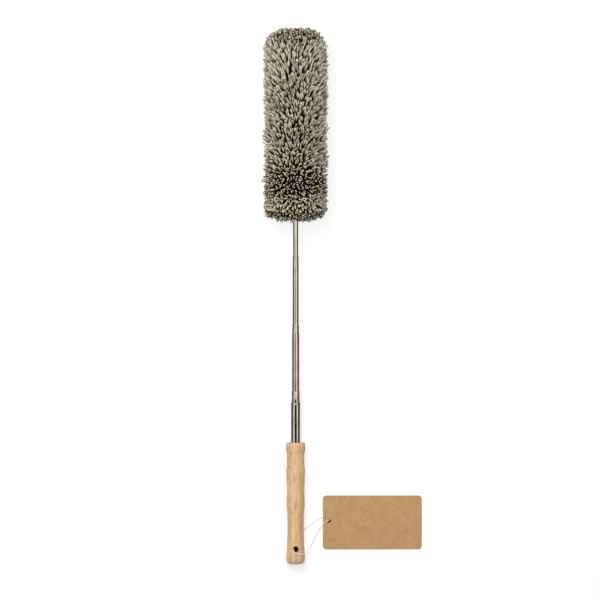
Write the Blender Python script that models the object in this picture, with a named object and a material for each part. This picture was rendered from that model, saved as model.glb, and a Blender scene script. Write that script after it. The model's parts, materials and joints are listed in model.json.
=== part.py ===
"""A telescopic duster, lying on its side as it does on a floor.

Lengths are in metres and +Z is up. The pole points along +Y, from the butt of
the bamboo handle to the head, and rises a little, because the head is thicker
than the handle. Round pieces are modelled along the local Z of the empty
pole_axis, where a height is the distance from the butt. Local -Y faces up.
The origin is on the floor, under the middle of handle, pole and head.
"""

import math
import random

import bmesh
import bpy
from mathutils import Matrix, Vector

# Handle
HANDLE_LENGTH = 0.1708
HANDLE_RADIUS = 0.0135  # at its butt and at its collar
BUTT_ROUNDING = 0.0055
COLLAR_HEIGHT = 0.0118
COLLAR_STEP = 0.0022
COLLAR_ROUNDING = 0.0015
HANGING_HOLE_HEIGHT = 0.0217
HANGING_HOLE_RADIUS = 0.004
HANGING_HOLE_CHAMFER = 0.001
HANDLE_BORE_END = 0.045
HANDLE_BORE_CLEARANCE = 0.0001

# Points of the grip from the butt up, as shares of the handle's length and radius
GRIP_OUTLINE_SHARES = (
    (0.049, 1.000),  # widest ring of the butt
    (0.156, 0.893),
    (0.270, 0.856),  # waist
    (0.393, 0.870),
    (0.496, 0.956),  # swell under the palm
    (0.615, 0.922),
    (0.750, 0.985),  # swell under the fingers
    (0.836, 0.907),
    (0.905, 0.904),  # neck below the collar
)

# Pole: five steel tubes, numbered from the handle up
TUBE_WALL = 0.0003
TUBE_1_RADIUS = 0.0064
TUBE_2_GAP = 0.0005  # between the inside of tube_1 and the outside of tube_2
TUBE_3_GAP = 0.00035
TUBE_4_GAP = 0.00055
TUBE_5_GAP = 0.00025
TUBE_1_EXPOSED = 0.0557  # from the handle's end to the mouth of tube_1
TUBE_2_EXPOSED = 0.0164
TUBE_3_EXPOSED = 0.0938
TUBE_4_EXPOSED = 0.0952
TUBE_5_EXPOSED = 0.0621  # from the mouth of tube_4 to the adapter
TUBE_2_NECK = 0.0095
TUBE_3_NECK = 0.0119
TUBE_4_NECK = 0.0105
NECK_CLEARANCE = 0.00008
SHOULDER_LENGTH = 0.0011
MOUTH_ROLL_LENGTH = 0.0016
MOUTH_EDGE = 0.0004
PULL_OUT_LENGTH = 0.0085  # how far a mouth stands out when its tube is pushed in
TUBE_5_SPARE_TRAVEL = 0.002

# Guide bushes and end plug
BUSH_FINGERS = 4
BUSH_LENGTH = 0.018
BUSH_BAND = 0.005
BUSH_RIM = 0.001
BUSH_RIM_REACH = 0.001
BUSH_CLEARANCE = 0.00006
BUSH_FIT = 0.00002
PLUG_FLANGE = 0.0015
PLUG_SPIGOT = 0.0022
PLUG_FIT = 0.0001
STOP_CLEARANCE = 0.0003

# Head: adapter, socket, spine, padding and button
ADAPTER_LENGTH = 0.018
ADAPTER_RADIUS = 0.006
ADAPTER_FLANGE_RADIUS = 0.0078
ADAPTER_FLANGE = 0.002
ADAPTER_CHAMFER = 0.0015
ADAPTER_END_WALL = 0.0035
SOCKET_RADIUS = 0.009
SOCKET_WEB = 0.0035
SOCKET_SPIGOT_RADIUS = 0.007
SOCKET_SPIGOT_LENGTH = 0.015
SOCKET_FIT = 0.0001
SPINE_RADIUS = 0.003
SPINE_LENGTH = 0.216
SPINE_TIP = 0.0005  # end of the spine that stands out of the foam
FOAM_TAPER = 0.0065
FOAM_DOME = 0.011
FOAM_END_RADIUS = 0.009
FOAM_BORE_CLEARANCE = 0.0003
BUTTON_RADIUS = 0.005
BUTTON_HEIGHT = 0.0075
BUTTON_ROUNDING = 0.002
SEAT_GAP = 0.0003

# Pile: sleeve that carries the strands, and the outline that their tips reach
SLEEVE_RADIUS = 0.022
SLEEVE_THICKNESS = 0.0015
SLEEVE_MOUTH_RADIUS = 0.0112
SLEEVE_MOUTH_DEPTH = 0.011
SLEEVE_PAST_SPINE = 0.0035
SLEEVE_DOME = 0.014
PILE_RADIUS = 0.0455
PILE_MOUTH_RADIUS = 0.013
PILE_MOUTH_OVERHANG = 0.0157
PILE_LOWER_ROUNDING = 0.022
PILE_LOWER_FULLNESS = 2.5  # 2 is an ellipse, more is a squarer corner
PILE_UPPER_ROUNDING = 0.030
PILE_UPPER_FULLNESS = 2.3
PILE_PAST_SLEEVE = 0.0169
PILE_TOP_RADIUS = 0.006
PILE_PRESSED_IN = 0.0025  # how far the floor flattens the lower end
PILE_SLICES = 8
ROWS_IN_FIRST_SLICE = 4
ROWS_IN_SLICE = 3
STRANDS_ROUND_END = 17
STRANDS_ROUND_MIDDLE = 21
SLICE_GAP = 0.0003
STRAND_FILL_SHARE = 0.75
STRAND_SHOULDER_SHARE = 0.72
STRAND_BOW_SHARE = 0.5
STRAND_JITTER_SHARE = 0.12
STRAND_SHORTER_SHARE = 0.06

# Where strands go: place of the root on the sleeve, place of the tip on the outline.
# Tips fan out at the lower end and lean towards the upper end along the barrel.
STRAND_SPREAD_SHARES = (
    (0.0000, 0.000),
    (0.0208, 0.056),
    (0.0625, 0.140),
    (0.1042, 0.208),
    (0.1500, 0.260),
    (0.2500, 0.352),
    (0.5000, 0.550),
    (0.7500, 0.752),
    (0.9000, 0.877),
    (1.0000, 1.000),
)

# Tag: a kraft card that lies beside the handle, its near edge on the string
TAG_LENGTH = 0.139
TAG_WIDTH = 0.0757
TAG_THICKNESS = 0.0008
TAG_CORNER = 0.005
TAG_HOLE_RADIUS = 0.0026
TAG_HOLE_FROM_EDGE = 0.0087
TAG_HOLE_OFF_MIDDLE = 0.0022
TAG_FROM_AXIS = 0.0382
TAG_FROM_BUTT = 0.0581
TAG_LIFT = 0.0021

# String: a loop through the handle's hole and the tag's hole
STRING_RADIUS = 0.0007
STRING_POINTS = 78
STRING_FINENESS = 24  # steps between two points of the route, before they are spaced out evenly
STRING_ROUTE = (
    (0.0042, 0.0363, 0.00080),  # one end, under the handle
    (0.0005, 0.0302, 0.00080),
    (-0.0012, 0.0274, 0.00080),
    (-0.0021, 0.0252, 0.00125),
    (-0.0025, 0.0236, 0.00290),
    (-0.0026, 0.0230, 0.00620),  # up through the hanging hole
    (-0.0026, 0.0220, 0.01400),
    (-0.0026, 0.0206, 0.02250),
    (-0.0026, 0.0198, 0.02590),
    (-0.0024, 0.0182, 0.02800),
    (-0.0014, 0.0160, 0.02840),
    (0.0012, 0.0141, 0.02810),  # over the front of the handle
    (0.0050, 0.0134, 0.02705),
    (0.0088, 0.0134, 0.02515),
    (0.0118, 0.0143, 0.02200),
    (0.0141, 0.0160, 0.01800),
    (0.0168, 0.0186, 0.01310),
    (0.0201, 0.0240, 0.00780),
    (0.0236, 0.0307, 0.00350),
    (0.0265, 0.0361, 0.00150),
    (0.0295, 0.0418, 0.00090),
    (0.0330, 0.0478, 0.00170),
    (0.0362, 0.0526, 0.00360),
    (0.0392, 0.0562, 0.00440),
    (0.0428, 0.0592, 0.00430),
    (0.0456, 0.0606, 0.00360),
    (0.0470, 0.0611, 0.00210),  # down through the tag's hole
    (0.0464, 0.0627, 0.00085),
    (0.0437, 0.0649, 0.00080),
    (0.0405, 0.0657, 0.00080),
    (0.0370, 0.0649, 0.00080),
    (0.0300, 0.0613, 0.00080),
    (0.0231, 0.0566, 0.00080),
    (0.0175, 0.0521, 0.00080),
    (0.0125, 0.0474, 0.00080),  # back under the handle
    (0.0086, 0.0430, 0.00080),
    (0.0060, 0.0392, 0.00080),
)

# Roundness
POLE_SIDES = 32
HANDLE_SIDES = 32
HEAD_SIDES = 24
HOLE_SIDES = 24
OUTLINE_STEPS = 2
OVAL_STEPS = 12
CORNER_STEPS = 4
CUT_OVERRUN = 0.006


def clear_scene():
    for thing in list(bpy.data.objects):
        bpy.data.objects.remove(thing, do_unlink=True)


def material(name, color, roughness, metallic=0.0):
    made = bpy.data.materials.new(name)
    made.use_nodes = True
    shader = made.node_tree.nodes["Principled BSDF"]
    shader.inputs["Base Color"].default_value = (*color, 1.0)
    shader.inputs["Roughness"].default_value = roughness
    shader.inputs["Metallic"].default_value = metallic
    made.diffuse_color = (*color, 1.0)
    return made


def add_object(name, mesh_or_curve, finish, parent=None):
    made = bpy.data.objects.new(name, mesh_or_curve)
    bpy.context.scene.collection.objects.link(made)
    if finish:
        mesh_or_curve.materials.append(finish)
    made.parent = parent
    return made


def solid_from(name, bm, finish, parent=None, sharp_degrees=35):
    """Ends a bmesh as an object, with its faces pointing out and its round faces smooth."""
    bmesh.ops.recalc_face_normals(bm, faces=bm.faces[:])
    mesh = bpy.data.meshes.new(name)
    bm.to_mesh(mesh)
    bm.free()
    mesh.shade_smooth()
    mesh.set_sharp_from_angle(angle=math.radians(sharp_degrees))
    return add_object(name, mesh, finish, parent)


def turned(outline, sides):
    """Revolves a closed outline of (radius, height) points round Z; zero radius closes on the axis."""
    bm = bmesh.new()
    turns = [math.tau * side / sides for side in range(sides)]
    rings = []
    for radius, height in outline:
        if radius == 0:
            rings.append([bm.verts.new((0, 0, height))] * sides)
        else:
            rings.append(
                [bm.verts.new((radius * math.cos(a), radius * math.sin(a), height)) for a in turns]
            )
    for lower, upper in zip(rings, rings[1:] + rings[:1]):
        for side in range(sides):
            after = (side + 1) % sides
            corners = [lower[side], lower[after], upper[after], upper[side]]
            distinct = list(dict.fromkeys(corners))
            if len(distinct) > 2:
                bm.faces.new(distinct)
    return bm


def quarter_round(center, radius, start_degrees, steps=CORNER_STEPS):
    """Points of a quarter circle in (radius, height), turning anticlockwise from a start angle."""
    return [
        (
            center[0] + radius * math.cos(math.radians(start_degrees + 90 * step / steps)),
            center[1] + radius * math.sin(math.radians(start_degrees + 90 * step / steps)),
        )
        for step in range(steps + 1)
    ]


def cut_with(target, cutter):
    cutter.hide_render = True
    cutter.display_type = "WIRE"
    cut = target.modifiers.new(cutter.name, "BOOLEAN")
    cut.operation = "DIFFERENCE"
    cut.solver = "EXACT"
    cut.object = cutter


# Sizes that follow from the ones above

GAPS = {2: TUBE_2_GAP, 3: TUBE_3_GAP, 4: TUBE_4_GAP, 5: TUBE_5_GAP}
EXPOSED = {
    1: TUBE_1_EXPOSED,
    2: TUBE_2_EXPOSED,
    3: TUBE_3_EXPOSED,
    4: TUBE_4_EXPOSED,
    5: TUBE_5_EXPOSED,
}
NECKS = {2: TUBE_2_NECK, 3: TUBE_3_NECK, 4: TUBE_4_NECK}
PLUG_START = HANDLE_BORE_END + STOP_CLEARANCE
PLUG_TOP = PLUG_START + PLUG_FLANGE + PLUG_SPIGOT


def tube_radii():
    """Outer radius of each tube: what the tube outside it leaves, less their gap."""
    radii = {1: TUBE_1_RADIUS}
    for stage, gap in GAPS.items():
        radii[stage] = radii[stage - 1] - TUBE_WALL - gap
    return radii


def tube_mouths():
    """Height of each tube's mouth as the duster lies, tube_5's being where the adapter starts."""
    mouths, height = {}, HANDLE_LENGTH
    for stage, exposed in EXPOSED.items():
        height += exposed
        mouths[stage] = height
    return mouths


def tube_ends():
    """Height of each tube's lower end, its bush included.

    A tube that is pushed in stops on what closes the tube outside it, the plug or a
    bush's rim, with its mouth one pull-out length above the mouth outside it.
    tube_5 is longer than its travel needs by a little, because the adapter stops it.
    """
    mouths = tube_mouths()
    ends = {1: PLUG_START + PLUG_FLANGE + STOP_CLEARANCE}
    depth = mouths[1] - PLUG_TOP
    for stage in NECKS:
        length = depth + PULL_OUT_LENGTH - STOP_CLEARANCE
        ends[stage] = mouths[stage] - length
        depth = length - BUSH_RIM
    ends[5] = ends[4] + BUSH_RIM + TUBE_5_EXPOSED + TUBE_5_SPARE_TRAVEL
    return ends


RADII = tube_radii()
MOUTHS = tube_mouths()
ENDS = tube_ends()
ADAPTER_START = MOUTHS[5]
ADAPTER_END = ADAPTER_START + ADAPTER_LENGTH
TUBE_5_TOP = ADAPTER_END - ADAPTER_END_WALL - SEAT_GAP
SOCKET_START = ADAPTER_START + ADAPTER_FLANGE + SEAT_GAP
SOCKET_BORE_END = ADAPTER_END + SEAT_GAP
SOCKET_BODY_END = SOCKET_BORE_END + SOCKET_WEB
SOCKET_END = SOCKET_BODY_END + SOCKET_SPIGOT_LENGTH
SPINE_START = SOCKET_BODY_END + SEAT_GAP
SPINE_END = SPINE_START + SPINE_LENGTH
FOAM_START = SOCKET_BODY_END + SEAT_GAP
FOAM_END = SPINE_END - SPINE_TIP
SLEEVE_START = SOCKET_START + SEAT_GAP
SLEEVE_END = SPINE_END + SLEEVE_PAST_SPINE
PILE_START = SLEEVE_START - PILE_MOUTH_OVERHANG
PILE_END = SLEEVE_END + PILE_PAST_SLEEVE
BUTT_HEIGHT = GRIP_OUTLINE_SHARES[0][0] * HANDLE_LENGTH


def lying_tilt():
    """Angle by which the pole rises, with the butt and the pressed lower end of the pile on the floor."""
    run = PILE_START + PILE_LOWER_ROUNDING - BUTT_HEIGHT
    rise = PILE_RADIUS - HANDLE_RADIUS
    return math.atan2(rise, run) - math.asin(PILE_PRESSED_IN / math.hypot(run, rise))


TILT = lying_tilt()


def pole_matrix():
    """Local Z up the pole, local X to world X, and the butt's widest ring resting on the floor."""
    start_y = -PILE_END * math.cos(TILT) / 2
    start_z = HANDLE_RADIUS * math.cos(TILT) - BUTT_HEIGHT * math.sin(TILT)
    return Matrix.Translation((0, start_y, start_z)) @ Matrix.Rotation(TILT - math.pi / 2, 4, "X")


def add_pole_axis():
    axis = bpy.data.objects.new("pole_axis", None)
    bpy.context.scene.collection.objects.link(axis)
    axis.matrix_world = pole_matrix()
    return axis


# Handle


def grip_radius(height):
    """Radius of the grip at a height, eased between the points of its outline."""
    points = [(share * HANDLE_LENGTH, radius * HANDLE_RADIUS) for share, radius in GRIP_OUTLINE_SHARES]
    for (low, first), (high, second) in zip(points, points[1:]):
        if height <= high:
            along = max(0.0, (height - low) / (high - low))
            return first + (second - first) * (1 - math.cos(math.pi * along)) / 2
    return points[-1][1]


def handle_outline():
    """Section of the handle from the butt's middle round the outside to the end of its bore."""
    outline = [(0, 0)]
    for step in range(CORNER_STEPS):
        turn = math.radians(90 * (1 - step / CORNER_STEPS))
        outline.append(
            (
                HANDLE_RADIUS - BUTT_ROUNDING * (1 - math.cos(turn)),
                BUTT_HEIGHT * (1 - math.sin(turn)),
            )
        )
    heights = [share * HANDLE_LENGTH for share, _ in GRIP_OUTLINE_SHARES]
    for low, high in zip(heights, heights[1:]):
        for step in range(OUTLINE_STEPS):
            height = low + (high - low) * step / OUTLINE_STEPS
            outline.append((grip_radius(height), height))
    neck = GRIP_OUTLINE_SHARES[-1][1] * HANDLE_RADIUS
    outline.append((neck, HANDLE_LENGTH - COLLAR_HEIGHT - COLLAR_STEP))
    outline.append(((neck + HANDLE_RADIUS) / 2, HANDLE_LENGTH - COLLAR_HEIGHT - COLLAR_STEP / 2))
    outline.append((HANDLE_RADIUS - COLLAR_ROUNDING / 4, HANDLE_LENGTH - COLLAR_HEIGHT))
    rim = (HANDLE_RADIUS - COLLAR_ROUNDING, HANDLE_LENGTH - COLLAR_ROUNDING)
    outline += quarter_round(rim, COLLAR_ROUNDING, 0)
    bore = TUBE_1_RADIUS + HANDLE_BORE_CLEARANCE
    outline += [(bore, HANDLE_LENGTH), (bore, HANDLE_BORE_END), (0, HANDLE_BORE_END)]
    return outline


def add_hanging_hole(handle, axis):
    """Cross hole with a chamfer at both mouths, cut along the local Y of the pole."""
    half = grip_radius(HANGING_HOLE_HEIGHT)
    flare = HANGING_HOLE_RADIUS + HANGING_HOLE_CHAMFER + CUT_OVERRUN
    outline = [
        (0, -half - CUT_OVERRUN),
        (flare, -half - CUT_OVERRUN),
        (HANGING_HOLE_RADIUS, HANGING_HOLE_CHAMFER - half),
        (HANGING_HOLE_RADIUS, half - HANGING_HOLE_CHAMFER),
        (flare, half + CUT_OVERRUN),
        (0, half + CUT_OVERRUN),
    ]
    cutter = solid_from("hanging_hole_cutter", turned(outline, HOLE_SIDES), None, axis)
    cutter.matrix_parent_inverse = Matrix.Identity(4)
    cutter.location = (0, 0, HANGING_HOLE_HEIGHT)
    cutter.rotation_euler = (math.pi / 2, 0, 0)
    cut_with(handle, cutter)


def add_handle(axis, finish):
    handle = solid_from("bamboo_handle", turned(handle_outline(), HANDLE_SIDES), finish, axis)
    add_hanging_hole(handle, axis)


# Pole


def tube_outline(stage):
    """Wall of one tube: a plain barrel, then a shoulder and a neck that guide the next tube."""
    outer, end, mouth = RADII[stage], ENDS[stage], MOUTHS[stage]
    inner = outer - TUBE_WALL
    end += BUSH_RIM + STOP_CLEARANCE if stage > 1 else 0
    if stage == 5:
        return [(inner, end), (outer, end), (outer, TUBE_5_TOP), (inner, TUBE_5_TOP)]
    neck_inner = RADII[stage + 1] + NECK_CLEARANCE
    if stage == 1:
        # The outermost tube has no neck: its mouth is rolled in to the next tube.
        shoulder = mouth - MOUTH_ROLL_LENGTH
        return [
            (inner, end),
            (outer, end),
            (outer, mouth - MOUTH_EDGE),
            (outer - MOUTH_EDGE, mouth),
            (neck_inner, mouth),
            (neck_inner, shoulder + TUBE_WALL),
            (inner, shoulder),
        ]
    neck_outer = neck_inner + TUBE_WALL
    neck = mouth - NECKS[stage]
    shoulder = neck - SHOULDER_LENGTH
    lip = min(MOUTH_EDGE, TUBE_WALL / 2)
    return [
        (inner, end),
        (outer, end),
        (outer, shoulder),
        (neck_outer, neck),
        (neck_outer, mouth - lip),
        (neck_outer - lip, mouth),
        (neck_inner, mouth),
        (neck_inner, neck),
        (inner, shoulder),
    ]


def add_tube(stage, axis, finish):
    solid_from(f"tube_{stage}", turned(tube_outline(stage), POLE_SIDES), finish, axis)


def add_end_plug(axis, finish):
    """Closes the outermost tube at the end of the handle's bore."""
    spigot = TUBE_1_RADIUS - TUBE_WALL - PLUG_FIT
    outline = [
        (0, PLUG_START),
        (TUBE_1_RADIUS, PLUG_START),
        (TUBE_1_RADIUS, PLUG_START + PLUG_FLANGE),
        (spigot, PLUG_START + PLUG_FLANGE),
        (spigot, PLUG_TOP - PLUG_FIT),
        (spigot - PLUG_FIT, PLUG_TOP),
        (0, PLUG_TOP),
    ]
    solid_from("tube_1_end_plug", turned(outline, POLE_SIDES), finish, axis)


def add_guide_bush(stage, axis, finish):
    """Sleeve on a tube's lower end, with a rim under the tube and springy fingers up its side."""
    outer = RADII[stage - 1] - TUBE_WALL - BUSH_CLEARANCE
    seat = RADII[stage] + BUSH_FIT
    rim = RADII[stage] - TUBE_WALL - BUSH_RIM_REACH
    end = ENDS[stage]
    band = end + BUSH_BAND
    outline = [(rim, end), (outer, end), (outer, band), (seat, band)]
    outline += [(seat, end + BUSH_RIM), (rim, end + BUSH_RIM)]
    bm = turned(outline, POLE_SIDES)
    top = [face for face in bm.faces if all(vert.co.z > band - BUSH_FIT for vert in face.verts)]
    top.sort(key=lambda face: math.atan2(*face.calc_center_median().yx))
    fingers = [face for place, face in enumerate(top) if place % (POLE_SIDES // BUSH_FINGERS)]
    grown = bmesh.ops.extrude_face_region(bm, geom=fingers)["geom"]
    moved = [part for part in grown if isinstance(part, bmesh.types.BMVert)]
    bmesh.ops.translate(bm, verts=moved, vec=(0, 0, BUSH_LENGTH - BUSH_BAND))
    bmesh.ops.delete(bm, geom=[face for face in fingers if face.is_valid], context="FACES_ONLY")
    solid_from(f"guide_bush_{stage}", bm, finish, axis)


# Head, inside the pile


def add_adapter(axis, finish):
    """Cup moulded over the top end of the innermost tube."""
    bore = RADII[5] + SOCKET_FIT
    flange_top = ADAPTER_START + ADAPTER_FLANGE
    bore_end = ADAPTER_END - ADAPTER_END_WALL
    outline = [
        (bore, ADAPTER_START),
        (ADAPTER_FLANGE_RADIUS, ADAPTER_START),
        (ADAPTER_FLANGE_RADIUS, flange_top),
        (ADAPTER_RADIUS, flange_top),
        (ADAPTER_RADIUS, ADAPTER_END - ADAPTER_CHAMFER),
        (ADAPTER_RADIUS - ADAPTER_CHAMFER, ADAPTER_END),
        (0, ADAPTER_END),
        (0, bore_end),
        (bore, bore_end),
    ]
    solid_from("pole_adapter", turned(outline, HEAD_SIDES), finish, axis)


def add_socket(axis, finish):
    """Socket of the head: the adapter goes in from below, the spine from above."""
    bore = ADAPTER_RADIUS + SOCKET_FIT
    spine_bore = SPINE_RADIUS + SOCKET_FIT
    outline = [
        (bore, SOCKET_START),
        (SOCKET_RADIUS, SOCKET_START),
        (SOCKET_RADIUS, SOCKET_BODY_END),
        (SOCKET_SPIGOT_RADIUS, SOCKET_BODY_END),
        (SOCKET_SPIGOT_RADIUS, SOCKET_END),
        (spine_bore, SOCKET_END),
        (spine_bore, SOCKET_BODY_END),
        (0, SOCKET_BODY_END),
        (0, SOCKET_BORE_END),
        (bore, SOCKET_BORE_END),
    ]
    solid_from("head_socket", turned(outline, HEAD_SIDES), finish, axis)


def add_spine(axis, finish):
    outline = [(0, SPINE_START), (SPINE_RADIUS, SPINE_START), (SPINE_RADIUS, SPINE_END), (0, SPINE_END)]
    solid_from("head_spine", turned(outline, HEAD_SIDES), finish, axis)


def add_foam_core(axis, finish):
    """Padding between the spine and the sleeve, narrower at both ends as the sleeve is."""
    flats = math.cos(math.pi / STRANDS_ROUND_END)  # the sleeve's inside has flats between strands
    outer = (SLEEVE_RADIUS - SLEEVE_THICKNESS) * flats - SEAT_GAP
    low = SOCKET_RADIUS + SLEEVE_THICKNESS
    spigot_bore = SOCKET_SPIGOT_RADIUS + FOAM_BORE_CLEARANCE
    spine_bore = SPINE_RADIUS + FOAM_BORE_CLEARANCE
    shoulder = FOAM_END - FOAM_DOME
    outline = [(spigot_bore, FOAM_START), (low, FOAM_START), (outer, FOAM_START + FOAM_TAPER)]
    for step in range(CORNER_STEPS + 1):
        turn = math.radians(90 * step / CORNER_STEPS)
        reach = outer - FOAM_END_RADIUS
        outline.append((FOAM_END_RADIUS + reach * math.cos(turn), shoulder + FOAM_DOME * math.sin(turn)))
    outline += [
        (spine_bore, FOAM_END),
        (spine_bore, SOCKET_END + SEAT_GAP),
        (spigot_bore, SOCKET_END + SEAT_GAP),
    ]
    solid_from("foam_core", turned(outline, HEAD_SIDES), finish, axis)


def add_tip_button(axis, finish):
    start = SPINE_END + SEAT_GAP
    outline = [(0, start), (BUTTON_RADIUS, start)]
    rim = (BUTTON_RADIUS - BUTTON_ROUNDING, start + BUTTON_HEIGHT - BUTTON_ROUNDING)
    outline += quarter_round(rim, BUTTON_ROUNDING, 0)
    outline.append((0, start + BUTTON_HEIGHT))
    solid_from("tip_button", turned(outline, HEAD_SIDES), finish, axis)


# Pile


def measured(points):
    """A line of (radius, height) points with the distance run at each."""
    run, runs = 0.0, [0.0]
    for (r0, h0), (r1, h1) in zip(points, points[1:]):
        run += math.hypot(r1 - r0, h1 - h0)
        runs.append(run)
    return points, runs


def point_at(line, share):
    """Point at a share of a measured line's length, and the direction there."""
    points, runs = line
    wanted = min(max(share, 0.0), 1.0) * runs[-1]
    for place in range(1, len(runs)):
        if wanted <= runs[place] or place == len(runs) - 1:
            step = runs[place] - runs[place - 1]
            part = (wanted - runs[place - 1]) / step
            (r0, h0), (r1, h1) = points[place - 1], points[place]
            return (r0 + (r1 - r0) * part, h0 + (h1 - h0) * part), ((r1 - r0) / step, (h1 - h0) / step)


def quarter_oval(across, along, fullness=2.0):
    """Quarter of an oval as (across, along) offsets from its centre, from its end to its side."""
    made = []
    for step in range(OVAL_STEPS + 1):
        turn = math.pi / 2 * step / OVAL_STEPS
        made.append((across * math.sin(turn) ** (2 / fullness), along * math.cos(turn) ** (2 / fullness)))
    return made


def sleeve_line():
    """Outside of the knitted sleeve, from its mouth round the socket to its hole at the button."""
    dome_start = SLEEVE_END - SLEEVE_DOME
    hole = BUTTON_RADIUS + SEAT_GAP
    points = [(SLEEVE_MOUTH_RADIUS, SLEEVE_START), (SLEEVE_RADIUS, SLEEVE_START + SLEEVE_MOUTH_DEPTH)]
    for across, along in reversed(quarter_oval(SLEEVE_RADIUS - hole, SLEEVE_DOME)):
        points.append((hole + across, dome_start + along))
    return measured(points)


def pile_line():
    """Outline that the tips reach: a flat lower end, a long barrel and a domed upper end."""
    low = PILE_START + PILE_LOWER_ROUNDING
    high = PILE_END - PILE_UPPER_ROUNDING
    points = []
    lower = quarter_oval(PILE_RADIUS - PILE_MOUTH_RADIUS, PILE_LOWER_ROUNDING, PILE_LOWER_FULLNESS)
    for across, along in lower:
        points.append((PILE_MOUTH_RADIUS + across, low - along))
    upper = quarter_oval(PILE_RADIUS - PILE_TOP_RADIUS, PILE_UPPER_ROUNDING, PILE_UPPER_FULLNESS)
    for across, along in reversed(upper):
        points.append((PILE_TOP_RADIUS + across, high + along))
    return measured(points)


def tip_share(share):
    for (low, first), (high, second) in zip(STRAND_SPREAD_SHARES, STRAND_SPREAD_SHARES[1:]):
        if share <= high:
            return first + (second - first) * max(0.0, share - low) / (high - low)
    return 1.0


def round_axis(point, turn):
    return Vector((point[0] * math.cos(turn), point[0] * math.sin(turn), point[1]))


def strand_point(sleeve, pile, share, part, stretch=1.0):
    """Point (radius, height) along a strand that leaves the sleeve squarely and bends to its tip."""
    root, way = point_at(sleeve, share)
    tip, _ = point_at(pile, tip_share(share))
    root, tip = Vector(root), Vector(tip)
    tip = root + (tip - root) * stretch
    square = Vector((way[1], -way[0])) * (tip - root).length * STRAND_BOW_SHARE
    control = root + square
    return root * (1 - part) ** 2 + control * 2 * part * (1 - part) + tip * part**2


def add_strand(bm, corners, sleeve, pile, share, pitch, turn, cell, chance):
    """A four-sided strand on one cell of the sleeve, widest at its shoulder, ending in a point."""
    stretch = 1 - STRAND_SHORTER_SHARE * chance.random()
    shoulder = strand_point(sleeve, pile, share, STRAND_SHOULDER_SHARE, stretch)
    below = strand_point(sleeve, pile, share - pitch / 2, STRAND_SHOULDER_SHARE)
    above = strand_point(sleeve, pile, share + pitch / 2, STRAND_SHOULDER_SHARE)
    half_along = (above - below) / 2
    ring = []
    for sideways, lengthways in ((-1, -1), (1, -1), (1, 1), (-1, 1)):
        place = shoulder + half_along * lengthways * STRAND_FILL_SHARE
        ring.append(bm.verts.new(round_axis(place, turn + sideways * STRAND_FILL_SHARE * cell / 2)))
    tip = strand_point(sleeve, pile, share, 1.0, stretch)
    tip += half_along * STRAND_JITTER_SHARE * chance.uniform(-1, 1)
    point = bm.verts.new(round_axis(tip, turn + STRAND_JITTER_SHARE * chance.uniform(-1, 1) * cell / 2))
    for place in range(4):
        after = (place + 1) % 4
        bm.faces.new((corners[place], corners[after], ring[after], ring[place]))
        bm.faces.new((ring[place], ring[after], point))


def flatten_on_floor(bm):
    """Cuts off what reaches below the floor and closes each cut strand with a flat end."""
    to_local = pole_matrix().inverted()
    floor_point = to_local @ Vector((0, 0, 0))
    floor_normal = (to_local.to_3x3() @ Vector((0, 0, 1))).normalized()
    if all((vert.co - floor_point).dot(floor_normal) > 0 for vert in bm.verts):
        return
    everything = bm.verts[:] + bm.edges[:] + bm.faces[:]
    bmesh.ops.bisect_plane(
        bm, geom=everything, plane_co=floor_point, plane_no=floor_normal, clear_inner=True
    )
    open_edges = [edge for edge in bm.edges if edge.is_boundary]
    bmesh.ops.holes_fill(bm, edges=open_edges, sides=0)


def add_pile_slice(number, axis, finish):
    """One slice of the sleeve with its strands, each row turned half a cell from the last."""
    around = STRANDS_ROUND_END if number in (1, PILE_SLICES) else STRANDS_ROUND_MIDDLE
    rows = ROWS_IN_FIRST_SLICE if number == 1 else ROWS_IN_SLICE
    cell = math.tau / around
    pitch = 1 / PILE_SLICES / rows
    start = (number - 1) / PILE_SLICES
    sleeve, pile = sleeve_line(), pile_line()
    half_gap = SLICE_GAP / 2 / sleeve[1][-1]
    chance = random.Random(number)
    bm = bmesh.new()
    outer, inner = [], []
    for row in range(rows + 1):
        share = start + row * pitch
        share += half_gap if row == 0 else 0
        share -= half_gap if row == rows else 0
        (radius, height), way = point_at(sleeve, share)
        inside = (radius - way[1] * SLEEVE_THICKNESS, height + way[0] * SLEEVE_THICKNESS)
        turns = [(place + row / 2) * cell for place in range(around)]
        outer.append([bm.verts.new(round_axis((radius, height), turn)) for turn in turns])
        inner.append([bm.verts.new(round_axis(inside, turn)) for turn in turns])
    for row in range(rows):
        share = start + (row + 0.5) * pitch
        for place in range(around):
            after = (place + 1) % around
            corners = (outer[row][place], outer[row][after], outer[row + 1][after], outer[row + 1][place])
            turn = (place + 0.5 + (row + 0.5) / 2) * cell
            add_strand(bm, corners, sleeve, pile, share, pitch, turn, cell, chance)
            bm.faces.new((inner[row][place], inner[row + 1][place], inner[row][after]))
            bm.faces.new((inner[row + 1][place], inner[row + 1][after], inner[row][after]))
    for place in range(around):
        after = (place + 1) % around
        bm.faces.new((outer[0][place], inner[0][place], inner[0][after], outer[0][after]))
        bm.faces.new((outer[-1][place], outer[-1][after], inner[-1][after], inner[-1][place]))
    flatten_on_floor(bm)
    solid_from(f"pile_slice_{number}", bm, finish, axis, sharp_degrees=70)


# Tag and string


def butt_on_floor():
    """Where the butt's end stands over the floor, from which the tag and the string are placed."""
    return Vector((0, pole_matrix().translation.y, 0))


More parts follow.
